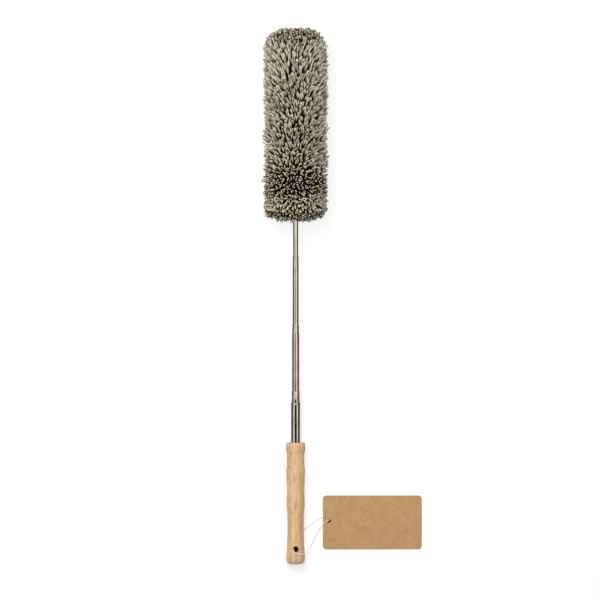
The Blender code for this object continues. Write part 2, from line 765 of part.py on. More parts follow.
def add_tag(finish):
    """Card with round corners and a punched hole, tipped up a little on the string under its near edge.

    Its own origin is the middle of the far edge, which lies on the floor.
    """
    near, far = TAG_CORNER - TAG_LENGTH, -TAG_CORNER
    half = TAG_WIDTH / 2 - TAG_CORNER
    outline = []
    for quarter, corner in enumerate(((far, half), (near, half), (near, -half), (far, -half))):
        outline += quarter_round(corner, TAG_CORNER, 90 * quarter)
    bm = bmesh.new()
    face = bm.faces.new([bm.verts.new((x, y, 0)) for x, y in outline])
    grown = bmesh.ops.extrude_face_region(bm, geom=[face])["geom"]
    moved = [part for part in grown if isinstance(part, bmesh.types.BMVert)]
    bmesh.ops.translate(bm, verts=moved, vec=(0, 0, TAG_THICKNESS))
    tag = solid_from("hang_tag", bm, finish)
    slope = math.asin(TAG_LIFT / TAG_LENGTH)
    tag.location = butt_on_floor()
    tag.location.x += TAG_FROM_AXIS + TAG_LENGTH * math.cos(slope)
    tag.location.y += TAG_FROM_BUTT
    tag.rotation_euler = (0, slope, 0)
    hole = [(0, -CUT_OVERRUN), (TAG_HOLE_RADIUS, -CUT_OVERRUN)]
    hole += [(TAG_HOLE_RADIUS, CUT_OVERRUN), (0, CUT_OVERRUN)]
    cutter = solid_from("tag_hole_cutter", turned(hole, HOLE_SIDES), None, tag)
    cutter.location = (TAG_HOLE_FROM_EDGE - TAG_LENGTH, TAG_HOLE_OFF_MIDDLE, 0)
    cut_with(tag, cutter)


def smooth_route(points, count):
    """Points at even distances along the smooth curve that passes through the given ones."""
    points = [Vector(point) for point in points]
    points = [points[0] * 2 - points[1], *points, points[-1] * 2 - points[-2]]
    fine = []
    for a, b, c, d in zip(points, points[1:], points[2:], points[3:]):
        for step in range(STRING_FINENESS):
            t = step / STRING_FINENESS
            bend = (a * 2 - b * 5 + c * 4 - d) * t**2 + (b * 3 - a - c * 3 + d) * t**3
            fine.append((b * 2 + (c - a) * t + bend) / 2)
    fine.append(points[-2])
    runs = [0.0]
    for before, after in zip(fine, fine[1:]):
        runs.append(runs[-1] + (after - before).length)
    even, place = [], 0
    for number in range(count):
        wanted = runs[-1] * number / (count - 1)
        while place < len(runs) - 2 and runs[place + 1] < wanted:
            place += 1
        part = (wanted - runs[place]) / (runs[place + 1] - runs[place])
        even.append(fine[place].lerp(fine[place + 1], part))
    return even, runs[-1]


def add_string(finish):
    route, length = smooth_route(STRING_ROUTE, STRING_POINTS)
    curve = bpy.data.curves.new("tag_string", "CURVE")
    curve.dimensions = "3D"
    curve.bevel_depth = STRING_RADIUS
    curve.bevel_resolution = 2
    curve.use_fill_caps = True
    spline = curve.splines.new("POLY")
    spline.points.add(len(route) - 1)
    for point, place in zip(spline.points, route):
        point.co = (*place, 1.0)
    string = add_object("tag_string", curve, finish)
    string.location = butt_on_floor()
    print(f"tag_string is {length * 1000:.1f} mm long")


def report_travel():
    """Prints each slide's range, which follows from the sizes above."""
    for stage in (2, 3, 4, 5):
        rim = PLUG_TOP if stage == 2 else ENDS[stage - 1] + BUSH_RIM
        inward = ENDS[stage] - rim - STOP_CLEARANCE
        if stage == 5:
            inward = min(inward, ADAPTER_START - MOUTHS[4] - STOP_CLEARANCE)
        if stage == 2:
            stop = MOUTHS[1] - MOUTH_ROLL_LENGTH
        else:
            stop = MOUTHS[stage - 1] - NECKS[stage - 1] - SHOULDER_LENGTH
        outward = stop - ENDS[stage] - BUSH_LENGTH - STOP_CLEARANCE
        print(f"tube_{stage} slides from {-inward * 1000:.1f} to {outward * 1000:.1f} mm")
    print(f"pole rises {math.degrees(TILT):.3f} degrees, length {PILE_END * 1000:.1f} mm")


def build():
    clear_scene()
    bamboo = material("light bamboo", (0.68, 0.42, 0.19), 0.45)
    steel = material("polished stainless steel", (0.72, 0.70, 0.67), 0.16, 1.0)
    nylon = material("black nylon", (0.03, 0.03, 0.03), 0.5)
    plastic = material("grey polypropylene", (0.23, 0.22, 0.20), 0.45)
    spring_steel = material("sheathed steel wire", (0.10, 0.10, 0.10), 0.4)
    foam = material("grey foam", (0.30, 0.28, 0.25), 0.95)
    microfibre = material("taupe microfibre", (0.30, 0.27, 0.21), 0.95)
    kraft = material("brown kraft card", (0.47, 0.27, 0.13), 0.8)
    cotton = material("white cotton", (0.80, 0.78, 0.74), 0.9)

    axis = add_pole_axis()
    add_handle(axis, bamboo)
    add_end_plug(axis, nylon)
    for stage in RADII:
        add_tube(stage, axis, steel)
    for stage in GAPS:
        add_guide_bush(stage, axis, nylon)
    add_adapter(axis, plastic)
    add_socket(axis, plastic)
    add_spine(axis, spring_steel)
    add_foam_core(axis, foam)
    add_tip_button(axis, plastic)
    for number in range(1, PILE_SLICES + 1):
        add_pile_slice(number, axis, microfibre)
    add_tag(kraft)
    add_string(cotton)
    report_travel()


build()
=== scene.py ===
import json
import math

import bmesh
import bpy
import numpy as np
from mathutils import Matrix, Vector


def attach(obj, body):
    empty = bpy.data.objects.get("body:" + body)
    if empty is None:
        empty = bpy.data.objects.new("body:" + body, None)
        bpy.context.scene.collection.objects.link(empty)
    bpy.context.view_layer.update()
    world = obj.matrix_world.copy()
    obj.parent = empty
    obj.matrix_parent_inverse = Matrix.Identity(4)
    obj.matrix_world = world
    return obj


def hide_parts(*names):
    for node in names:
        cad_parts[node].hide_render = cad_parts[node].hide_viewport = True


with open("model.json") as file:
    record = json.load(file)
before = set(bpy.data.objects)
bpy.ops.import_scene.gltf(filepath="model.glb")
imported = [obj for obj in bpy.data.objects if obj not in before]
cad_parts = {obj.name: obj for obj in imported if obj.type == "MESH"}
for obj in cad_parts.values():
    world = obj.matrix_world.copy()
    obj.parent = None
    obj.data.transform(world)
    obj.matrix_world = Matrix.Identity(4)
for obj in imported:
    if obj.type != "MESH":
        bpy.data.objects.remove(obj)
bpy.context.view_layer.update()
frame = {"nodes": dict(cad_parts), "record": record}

mm = 0.001
record = frame["record"]
nodes = frame["nodes"]

# The pole's own directions: up the pole, to the right and away from the floor
buttEnd = np.array(record["mounts"][0]["pos_m"])
polewards = np.array(record["behaviour"]["joints"][0]["axis"])
polewards = polewards / np.linalg.norm(polewards)
rightwards = np.array([1.0, 0.0, 0.0])
upwards = np.cross(rightwards, polewards)
poleTilt = math.asin(polewards[2])
buttFloor = np.array([0, buttEnd[1], 0])  # where the string and the tag are measured from


# Points round the pole: butt + height * polewards + radius * (cos turn * rightwards + sin turn * upwards)
def onPole(radius, height, turn):
    radius, height, turn = np.broadcast_arrays(radius, height, turn)
    across = (radius * np.cos(turn))[..., None] * rightwards + (radius * np.sin(turn))[..., None] * upwards
    return buttEnd + height[..., None] * polewards + across


# sRGB hex to linear: below 0.04045 v / 12.92, else ((v + 0.055) / 1.055) ** 2.4
def linear(hexText):
    values = [int(hexText[i:i + 2], 16) / 255 for i in (1, 3, 5)]
    return (*[v / 12.92 if v <= 0.04045 else ((v + 0.055) / 1.055) ** 2.4 for v in values], 1.0)


# Sets a node's sockets; a value that is a socket is linked, and so is a node, by its first output
def setSockets(node, sockets):
    for name, value in sockets.items():
        if isinstance(value, bpy.types.Node):
            value = value.outputs[0]
        if isinstance(value, bpy.types.NodeSocket):
            node.id_data.links.new(value, node.inputs[name])
        else:
            node.inputs[name].default_value = value


# Adds a node with its sockets, its settings and the places and hex colours of a ramp's stops
def addNode(tree, kind, sockets=None, stops=None, **settings):
    made = tree.nodes.new("ShaderNode" + kind)
    for name, value in settings.items():
        setattr(made, name, value)
    setSockets(made, sockets or {})
    if stops:
        ramp = made.color_ramp
        while len(ramp.elements) < len(stops):
            ramp.elements.new(0.5)
        for element, (place, hexText) in zip(ramp.elements, stops):
            element.position, element.color = place, linear(hexText)
    return made


# A material with nothing but a shader: the material, its tree and the shader
def newMaterial(name, shaderKind="BsdfPrincipled"):
    made = bpy.data.materials.new(name)
    made.use_nodes = True
    made.node_tree.nodes.clear()
    shader = addNode(made.node_tree, shaderKind)
    addNode(made.node_tree, "OutputMaterial", {"Surface": shader})
    return made, made.node_tree, shader


# A smooth mesh object at the origin, from arrays of points, faces and a UV pair for each face corner
def meshPiece(name, points, faces, material, uv=None, sharpDegrees=None, attributes=None):
    mesh = bpy.data.meshes.new(name)
    mesh.from_pydata(points, [], faces)
    if uv is not None:
        layer = mesh.uv_layers.new(name="UVMap")
        layer.data.foreach_set("uv", np.ascontiguousarray(uv, np.float32).ravel())
    for attribute, values in (attributes or {}).items():
        layer = mesh.attributes.new(attribute, "FLOAT", "POINT")
        layer.data.foreach_set("value", np.ascontiguousarray(values, np.float32).ravel())
    mesh.materials.append(material)
    mesh.validate()
    mesh.shade_smooth()
    if sharpDegrees:
        mesh.set_sharp_from_angle(angle=math.radians(sharpDegrees))
    piece = bpy.data.objects.new(name, mesh)
    bpy.context.scene.collection.objects.link(piece)
    return piece


# Quads between neighbours on a grid whose columns close in a ring, and their UV corners
def gridFaces(rows, columns, wrapRows=False):
    bands = rows if wrapRows else rows - 1
    i, j = np.meshgrid(np.arange(bands), np.arange(columns), indexing="ij")
    here, above, on = i * columns, (i + 1) % rows * columns, (j + 1) % columns
    faces = np.stack([here + j, here + on, above + on, above + j], -1).reshape(-1, 4)
    u = np.stack([j, j + 1, j + 1, j], -1) / columns
    v = np.stack([i, i, i + 1, i + 1], -1) / bands
    return faces, np.stack([u, v], -1).reshape(-1, 2)


# Length of a line from its start to each of its points
def runAlong(line):
    return np.concatenate([[0], np.cumsum(np.linalg.norm(np.diff(line, axis=0), axis=1))])


# A closed outline of (radius, height) carried round the pole; an end on the axis closes in a fan
def turnedPiece(name, outline, sides, material, sharpDegrees=35):
    outline = np.asarray(outline, float)
    turns = np.linspace(0, math.tau, sides, endpoint=False)
    ends = outline[0, 0] == 0, outline[-1, 0] == 0
    body = outline[int(ends[0]):len(outline) - int(ends[1])]
    points = onPole(body[:, :1], body[:, 1:], turns[None]).reshape(-1, 3)
    faces, uv = gridFaces(len(body), sides, wrapRows=not any(ends))
    if any(ends):
        uv[:, 1] = np.interp(uv[:, 1] * (len(body) - 1), np.arange(len(body)), runAlong(body))
    faces, uv = faces.tolist(), uv.tolist()
    for end, row, flip in ((0, 0, True), (1, len(body) - 1, False)):
        if ends[end]:
            centre = len(points)
            points = np.vstack([points, onPole(0.0, outline[-end, 1], 0.0)[None]])
            ring = row * sides + np.arange(sides)
            fan = np.stack([ring, np.roll(ring, -1), np.full(sides, centre)], -1)
            faces += (fan[:, ::-1] if flip else fan).tolist()
            uv += [[0.5, uv[0][1]]] * (3 * sides)
    piece = meshPiece(name, points, faces, material, uv, sharpDegrees)
    facesOutwards(piece)
    return piece


# Turns a closed shell's faces outwards, by the sign of its volume
def facesOutwards(piece):
    shell = bmesh.new()
    shell.from_mesh(piece.data)
    if shell.calc_volume(signed=True) < 0:
        piece.data.flip_normals()
    shell.free()


# One mesh of many yarns from their rings, as (yarns, steps, sides, 3): quads between the rings and a cap
# on both ends of each yarn; with a run along the yarn, UV follows it
def yarnPiece(name, rings, material, run=None, attributes=None):
    count, steps, sides = rings.shape[:3]
    quads, uv = gridFaces(steps, sides)
    if run is not None:
        uv[:, 1] = np.interp(uv[:, 1] * (steps - 1), np.arange(steps), run)
    start = np.arange(count)[:, None, None] * steps * sides
    faces = (quads + start).reshape(-1, 4)
    ends = np.stack([np.arange(sides)[::-1], (steps - 1) * sides + np.arange(sides)])
    caps = (ends + start).reshape(-1, sides)
    uv = np.vstack([np.tile(uv, (count, 1)), np.zeros((caps.size, 2))])
    faces = faces.tolist() + caps.tolist()
    return meshPiece(name, rings.reshape(-1, 3), faces, material, uv, attributes=attributes)


# Quarter circle of (radius, height) points round a centre, from straight out to straight up
def rounded(centre, radius, steps=6):
    turn = np.linspace(0, math.pi / 2, steps + 1)
    return np.stack([centre[0] + radius * np.cos(turn), centre[1] + radius * np.sin(turn)], -1)


# From one value to another by (1 - cos(pi s)) / 2
def swung(first, last, share):
    return first + (last - first) * (1 - np.cos(math.pi * share)) / 2


# Camera, at the photograph's view: straight down, with the pole up the image
view = {
    "lens": 600, "sensor": 36,  # in millimetres
    "width": 0.84,  # what the image shows at the level below, in metres
    "centre": (0.00616, -0.00525),
    "level": 0.04,
    "farthest": 50,
}

camera = bpy.data.objects.new("camera", bpy.data.cameras.new("camera"))
camera.data.lens, camera.data.sensor_width = view["lens"], view["sensor"]
cameraHeight = view["level"] + view["width"] * view["lens"] / view["sensor"]
camera.location = (*view["centre"], cameraHeight)
camera.data.clip_end = view["farthest"]
bpy.context.scene.collection.objects.link(camera)
bpy.context.scene.camera = camera
print("camera in place")


# Tag string: white cotton, three plies laid round each other
string = {
    "diameter": 1.4 * mm,
    "plies": 3,
    "fullness": 1.6,  # how much thicker than round plies that only touch
    "lay": 4.2 * mm,  # length of one turn of a ply
    "pointsPerTurn": 10,
    "sides": 7,
    "colour": "#f0f0f0",
    # colour of the painted shade in the grooves between its fibres
    "shade": "#aeafb2",
}

# Route from one end under the handle, up through the hanging hole, over the handle,
# down to the tag's hole and back under the handle: x, y from the butt and z, in millimetres
stringRoute = mm * np.array([
    (4.2, 36.3, 0.8), (0.5, 30.2, 0.8), (-1.2, 27.4, 0.8), (-2.1, 25.2, 1.25), (-2.5, 23.6, 2.9),
    (-2.6, 23.0, 6.2), (-2.6, 22.0, 14.0), (-2.6, 20.6, 22.5), (-2.6, 19.8, 25.9), (-2.4, 18.2, 28.0),
    (-1.4, 16.0, 28.4), (1.2, 14.1, 28.1), (5.0, 13.4, 27.05), (8.8, 13.4, 25.15), (11.8, 14.3, 22.0),
    (14.1, 16.0, 18.0), (16.8, 18.6, 13.1), (20.1, 24.0, 7.8), (23.6, 30.7, 3.5), (26.5, 36.1, 1.5),
    (29.5, 41.8, 0.9), (33.0, 47.8, 1.7), (36.2, 52.6, 3.6), (39.2, 56.2, 4.4), (42.8, 59.2, 4.3),
    (45.6, 60.6, 3.6), (47.0, 61.1, 2.1), (46.4, 62.7, 0.85), (43.7, 64.9, 0.8), (40.5, 65.7, 0.8),
    (37.0, 64.9, 0.8), (30.0, 61.3, 0.8), (23.1, 56.6, 0.8), (17.5, 52.1, 0.8), (12.5, 47.4, 0.8),
    (8.6, 43.0, 0.8), (6.0, 39.2, 0.8),
])


# Even steps along the Catmull-Rom curve through the points, and its length:
# (2b + (c-a)t + (2a-5b+4c-d)t^2 + (3b-a-3c+d)t^3) / 2
def smoothRoute(points, spacing):
    points = np.vstack([2 * points[0] - points[1], points, 2 * points[-1] - points[-2]])
    a, b, c, d = (points[n:len(points) - 3 + n, None] for n in range(4))
    t = np.linspace(0, 1, 24, endpoint=False)[None, :, None]
    fine = (2 * b + (c - a) * t + (2 * a - 5 * b + 4 * c - d) * t**2 + (3 * b - a - 3 * c + d) * t**3) / 2
    fine = np.vstack([fine.reshape(-1, 3), points[-2]])
    run = runAlong(fine)
    even = np.linspace(0, run[-1], max(2, round(run[-1] / spacing)))
    return np.stack([np.interp(even, run, fine[:, n]) for n in range(3)], -1), run[-1]


# Two directions across a line at each point, carried along it without twist
def carriedFrames(line):
    along = np.gradient(line, axis=0)
    along /= np.linalg.norm(along, axis=1)[:, None]
    steep = abs(along[0, 2]) >= 0.9
    first = np.cross(along[0], (1.0, 0, 0) if steep else (0, 0, 1.0))
    across = [first / np.linalg.norm(first)]
    for way in along[1:]:
        turned = across[-1] - way * (across[-1] @ way)
        across.append(turned / np.linalg.norm(turned))
    across = np.array(across)
    return across, np.cross(along, across)


# Bleached cotton string, spun and laid: matt and soft, with painted shade, a cool grey, in the grooves
# between its 0.4 mm tufts
def cottonMaterial():
    made, tree, shader = newMaterial("bleached_cotton_string")
    place = addNode(tree, "TexCoord").outputs["Object"]
    fibres = addNode(tree, "TexNoise", {"Vector": place, "Scale": 2600.0, "Detail": 3.0})
    colour = addNode(tree, "ValToRGB", {"Fac": fibres},
                     stops=[(0.3, string["shade"]), (0.62, string["colour"])])
    bump = addNode(tree, "Bump", {"Height": fibres, "Distance": 0.12 * mm, "Strength": 0.6})
    setSockets(shader, {"Base Color": colour, "Normal": bump, "Roughness": 0.85, "Sheen Weight": 0.25})
    return made


# Plies on a helix round the line: line + r * (cos(2 pi s / lay + ply) * across + sin(...) * over)
def laidString(name, line, material):
    touching = string["diameter"] / 2 / (1 + 1 / math.sin(math.pi / string["plies"]))
    ply = touching * string["fullness"]
    offset = string["diameter"] / 2 - ply
    frames = carriedFrames(line)
    turns = np.linspace(0, math.tau, string["sides"], endpoint=False)[:, None]
    rings = []
    for number in range(string["plies"]):
        turn = math.tau * (runAlong(line) / string["lay"] + number / string["plies"])[:, None]
        middle = line + offset * (np.cos(turn) * frames[0] + np.sin(turn) * frames[1])
        across, over = carriedFrames(middle)
        circle = across[:, None] * np.cos(turns) + over[:, None] * np.sin(turns)
        rings.append(middle[:, None] + ply * circle)
    return yarnPiece(name, np.array(rings), material)


cotton = cottonMaterial()
stringLine, stringLength = smoothRoute(stringRoute + buttFloor, string["lay"] / string["pointsPerTurn"])
tagString = laidString("laid_tag_string", stringLine, cotton)
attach(tagString, "handle")
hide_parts("tag_string")
print(f"string laid, {stringLength * 1000:.1f} mm long")


# Knot: both ends in an overhand knot on the floor, under the handle; in millimetres
knot = {
    "middle": (5.4, 38.6, 2.1),
    "size": (0.675, 0.675, 0.75),
    "opening": 0.35,  # turn at which each tail leaves the ring
    "firstTail": ((2.2, 5.2, -1.2), (1.6, 2.6, -0.4)),
    "lastTail": ((-0.4, 3.0, -0.4), (-1.4, 5.8, -1.2)),
    "lowest": 0.75,
    "spacing": 0.35,
}


# Trefoil, (sin t + 2 sin 2t, cos t - 2 cos 2t, -sin 3t), flattened, opened on one side into two tails
def knotLine():
    t = np.linspace(knot["opening"], math.tau - knot["opening"], 40)
    ring = np.stack([np.sin(t) + 2 * np.sin(2 * t), np.cos(t) - 2 * np.cos(2 * t), -np.sin(3 * t)], -1)
    line = ring * knot["size"] + knot["middle"]
    line = np.vstack([line[0] + knot["firstTail"], line, line[-1] + knot["lastTail"]])
    line[:, 2] = np.maximum(line[:, 2], knot["lowest"])
    return mm * line + buttFloor


stringKnot = laidString("string_knot", smoothRoute(knotLine(), knot["spacing"] * mm)[0], cotton)
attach(stringKnot, "handle")
print("knot tied")


# Tubes of the pole: thin polished stainless steel, each with its own mouth; in millimetres
tubes = {
    "sides": 96,
    "wall": 0.3,
    "radii": {1: 6.4, 2: 5.6, 3: 4.95, 4: 4.1, 5: 3.55},
    "lowerEnds": {1: 47.1, 2: 58.5, 3: 145.1, 4: 233.1, 5: 298.2},
    "mouths": {1: 226.5, 2: 242.9, 3: 336.7, 4: 431.9, 5: 508.2},
    "necks": {2: 9.5, 3: 11.9, 4: 10.5},
    "shoulder": 1.1,
    "roll": 1.3,  # radius of the first tube's rolled mouth
    "rollRise": 0.35,  # how far it stands out
    "lip": 1.6,  # how far down it is turned in
    "neckClearance": 0.08,
    "beads": 3,
    "beadDepth": 0.24,
    "colour": "#c6beb3",
    "edgeTint": "#3a3129",
    "smudge": "#b7afa2",
}


# Stainless steel tube, drawn and mirror polished: sharp dark and pale bands along the tube, reflected from
# the softboxes and from glowing cards that are painted reflections, draw lines 0.5 mm apart and faint
# smudges
def steelMaterial():
    made, tree, shader = newMaterial("polished_stainless_steel")
    place = addNode(tree, "TexCoord").outputs["Object"]
    along = addNode(tree, "Mapping", {
        "Vector": place, "Rotation": (-poleTilt, 0, 0), "Scale": (1.0, 0.06, 1.0)})
    drawn = addNode(tree, "TexNoise", {"Vector": along, "Scale": 1800.0, "Detail": 2.0})
    smudges = addNode(tree, "TexNoise", {"Vector": place, "Scale": 70.0, "Detail": 3.0})
    tone = addNode(tree, "ValToRGB", {"Fac": smudges},
                   stops=[(0.35, tubes["smudge"]), (0.6, tubes["colour"])])
    gloss = addNode(tree, "MapRange", {"Value": smudges, "To Min": 0.12, "To Max": 0.06})
    bump = addNode(tree, "Bump", {"Height": drawn, "Distance": 0.004 * mm, "Strength": 0.5})
    setSockets(shader, {
        "Base Color": tone, "Roughness": gloss,
        "Normal": bump, "Metallic": 1.0, "Specular Tint": linear(tubes["edgeTint"])})
    return made


# Section of a tube's wall: barrel, then a rolled mouth on the first tube, a plain end on the last, and on
# the others a shoulder and a neck with beads, depth * (1 - cos(2 pi s)) / 2
def tubeOutline(stage):
    wall, outer = tubes["wall"], tubes["radii"][stage]
    inner = outer - wall
    end, mouth = tubes["lowerEnds"][stage], tubes["mouths"][stage]
    if stage == 5:
        return np.array([(inner, end), (outer, end), (outer, mouth), (inner, mouth)]) * mm
    neckInner = tubes["radii"][stage + 1] + tubes["neckClearance"]
    if stage == 1:
        roll, lip = tubes["roll"], tubes["lip"]
        turn = np.linspace(-math.pi / 3, math.pi / 2, 12)
        across = outer + tubes["rollRise"] - roll + roll * np.cos(turn)
        bead = np.stack([np.maximum(across, outer), mouth - roll + roll * np.sin(turn)], -1)
        return mm * np.vstack([
            (inner, end), (outer, end), (outer, bead[0, 1] - 2 * wall), bead, (neckInner, mouth),
            (neckInner, mouth - lip + wall), (inner, mouth - lip),
        ])
    lip, neckOuter = wall / 2, neckInner + wall
    neck = mouth - tubes["necks"][stage]
    shoulder = neck - tubes["shoulder"]
    ease = np.linspace(0, 1, 9)
    slope = np.stack([swung(outer, neckOuter, ease), shoulder + (neck - shoulder) * ease], -1)
    steps = np.linspace(0, 1, 60)
    beads = swung(0, tubes["beadDepth"], 2 * steps * tubes["beads"])
    neckLine = np.stack([neckOuter + beads, neck + (mouth - lip - neck) * steps], -1)
    return mm * np.vstack([
        (inner, end), (outer, end), (outer, shoulder - wall), slope, neckLine[1:],
        rounded((neckOuter - lip, mouth - lip), lip)[1:],
        (neckInner, mouth), (neckInner, neck), (inner, shoulder),
    ])


steel = steelMaterial()
for stage, body in ((1, "handle"), (2, "tube_2"), (3, "tube_3"), (4, "tube_4"), (5, "head")):
    tube = turnedPiece(f"steel_tube_{stage}", tubeOutline(stage), tubes["sides"], steel)
    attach(tube, body)
    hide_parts(f"tube_{stage}")
print("tubes turned")


# Handle: turned from laminated bamboo and lacquered; in millimetres
handle = {
    "sides": 128,
    "length": 170.8,
    "radius": 13.5,
    # Heights and radii of the grip, as shares of the length and the radius
    "grip": ((0.049, 1.000), (0.156, 0.893), (0.270, 0.856), (0.393, 0.870), (0.496, 0.956),
             (0.615, 0.922), (0.750, 0.985), (0.836, 0.907), (0.905, 0.904)),
    "buttRounding": 5.5,
    "collar": 9.0,
    "collarStep": 7.5,
    "collarRounding": 2.4,
    "bore": 6.5,
    "boreEnd": 45.0,
    "boreChamfer": 0.4,
    "holeHeight": 21.7,
    "holeRadius": 4.0,
    "holeRounding": 0.9,
    "holeSides": 64,
    "endGrainAndShade": "#2b1a0f",  # darker drilled end grain and painted shade inside the hole
    "endGrainAndShadeFade": 0.5,
    "stripWidth": 6.5,  # of one laminated strip, and its depth
    "stripDepth": 11.05,
    "stripShift": 20.0,  # sets the joint between two layers off the middle
    "fibreWidth": 1.2,  # real fibre bundles are 0.4 mm, drawn coarser so that they show
    "fibreLength": 13.0,
    "jointEvery": 62.0,  # from one node of the bamboo to the next
    "jointWidth": 3.5,
    "light": "#dabb95",
    "middle": "#caa076",
    "dark": "#a56d3d",
}


# Laminated bamboo, turned, sanded and given a clear satin lacquer: straight fine fibres, strips of slightly
# different tone, brown dashes of fibre bundles, faint bands where the stalk had its nodes, and inside the
# hanging hole a dark wall, partly end grain and partly painted shade
def bambooMaterial():
    made, tree, shader = newMaterial("lacquered_laminated_bamboo")
    place = addNode(tree, "TexCoord").outputs["Object"]
    turned = addNode(tree, "Mapping", {
        "Vector": place, "Location": (0, 0, -handle["stripShift"] * mm),
        "Rotation": (-poleTilt, 0, 0)})
    axes = addNode(tree, "SeparateXYZ", {"Vector": turned})
    # Strips: cells across the pole, each with its own tone
    cells = {}
    for side, axis, size in (("X", "X", handle["stripWidth"]), ("Y", "Z", handle["stripDepth"])):
        cell = addNode(tree, "Math", {0: axes.outputs[axis], 1: size * mm}, operation="DIVIDE")
        cells[side] = addNode(tree, "Math", {0: cell}, operation="FLOOR")
    tone = addNode(tree, "TexWhiteNoise", {"Vector": addNode(tree, "CombineXYZ", cells)})
    # Fibres and clouds: noise drawn out along the pole, the clouds 4 mm wide and 70 mm long
    fine, drawnOut = 1 / (handle["fibreWidth"] * mm), 1 / (handle["fibreLength"] * mm)
    stretch = addNode(tree, "Mapping", {"Vector": turned, "Scale": (fine, drawnOut, fine)})
    fibres = addNode(tree, "TexNoise", {"Vector": stretch, "Scale": 1.0, "Detail": 3.0, "Roughness": 0.6})
    broadly = addNode(tree, "Mapping", {"Vector": turned, "Scale": (260, 14, 260)})
    cloud = addNode(tree, "TexNoise", {"Vector": broadly, "Scale": 1.0, "Detail": 4.0, "Distortion": 0.6})
    # Nodes of the stalk: a faint band in each strip, at its own height
    every = handle["jointEvery"] * mm
    shifted = addNode(tree, "Math", {0: tone, 1: every, 2: axes.outputs["Y"]}, operation="MULTIPLY_ADD")
    ring = addNode(tree, "Math", {0: shifted, 1: every / 2}, operation="PINGPONG")
    band = addNode(tree, "MapRange", {
        "Value": ring, "From Min": 0.0, "From Max": handle["jointWidth"] * mm,
        "To Min": 0.22, "To Max": 0.0}, interpolation_type="SMOOTHSTEP")
    base = addNode(tree, "ValToRGB", {"Fac": cloud},
                   stops=[(0.3, handle["middle"]), (0.62, handle["light"])])
    toned = addNode(tree, "MapRange", {"Value": tone, "To Min": 0.92, "To Max": 1.05})
    stripes = addNode(tree, "MixRGB", {"Fac": 1.0, "Color1": base, "Color2": toned}, blend_type="MULTIPLY")
    dashes = addNode(tree, "MapRange", {"Value": fibres, "From Min": 0.5, "From Max": 0.68, "To Max": 0.75})
    both = addNode(tree, "Math", {0: dashes, 1: band}, operation="MAXIMUM", use_clamp=True)
    grain = addNode(tree, "MixRGB", {"Fac": both, "Color1": stripes, "Color2": linear(handle["dark"])})
    # Inside the hanging hole the wall is dark, partly for its drilled end grain and partly as painted
    # shade:
    # distance from the hole's axis, across it
    middle = buttEnd + handle["holeHeight"] * mm * polewards
    away = addNode(tree, "VectorMath", {0: place, 1: tuple(middle)}, operation="SUBTRACT")
    across = addNode(tree, "VectorMath", {0: away, 1: tuple(upwards)}, operation="CROSS_PRODUCT")
    apart = addNode(tree, "VectorMath", {0: across}, operation="LENGTH")
    endGrainAndShadeMask = addNode(tree, "MapRange", {
        "Value": apart.outputs["Value"], "From Min": handle["holeRadius"] * mm,
        "From Max": (handle["holeRadius"] + handle["endGrainAndShadeFade"]) * mm, "To Min": 0.85, "To Max": 0.0})
    colour = addNode(tree, "MixRGB", {
        "Fac": endGrainAndShadeMask, "Color1": grain,
        "Color2": linear(handle["endGrainAndShade"])})
    bump = addNode(tree, "Bump", {"Height": fibres, "Distance": 0.04 * mm, "Strength": 0.35})
    setSockets(shader, {
        "Base Color": colour, "Normal": bump,
        "Roughness": 0.42, "Coat Weight": 0.25, "Coat Roughness": 0.28})
    return made


# Heights and radii of the grip
def gripWidths():
    return np.array(handle["grip"]).T * [[handle["length"]], [handle["radius"]]]


# Section of the handle: flat butt, its rounding, the grip eased between its widths, collar and bore
def handleOutline():
    length, radius, bore = handle["length"], handle["radius"], handle["bore"]
    heights, widths = gripWidths()
    turn = np.linspace(math.pi / 2, 0, 10)
    butt = np.stack([radius - handle["buttRounding"] * (1 - np.cos(turn)),
                     heights[0] * (1 - np.sin(turn))], -1)
    up = np.linspace(heights[0], heights[-1], 90)[1:]
    part = np.clip(np.searchsorted(heights, up) - 1, 0, len(heights) - 2)
    share = (up - heights[part]) / (heights[part + 1] - heights[part])
    grip = np.stack([swung(widths[part], widths[part + 1], share), up], -1)
    ease = np.linspace(0, 1, 7)
    neck = length - handle["collar"] - handle["collarStep"]
    step = np.stack([swung(widths[-1], radius, ease), neck + handle["collarStep"] * ease], -1)
    rounding, chamfer = handle["collarRounding"], handle["boreChamfer"]
    rim = rounded((radius - rounding, length - rounding), rounding)
    hollow = [(bore + chamfer, length), (bore, length - chamfer),
              (bore, handle["boreEnd"]), (0, handle["boreEnd"])]
    return np.vstack([(0, 0), butt, grip, step, rim, hollow]) * mm


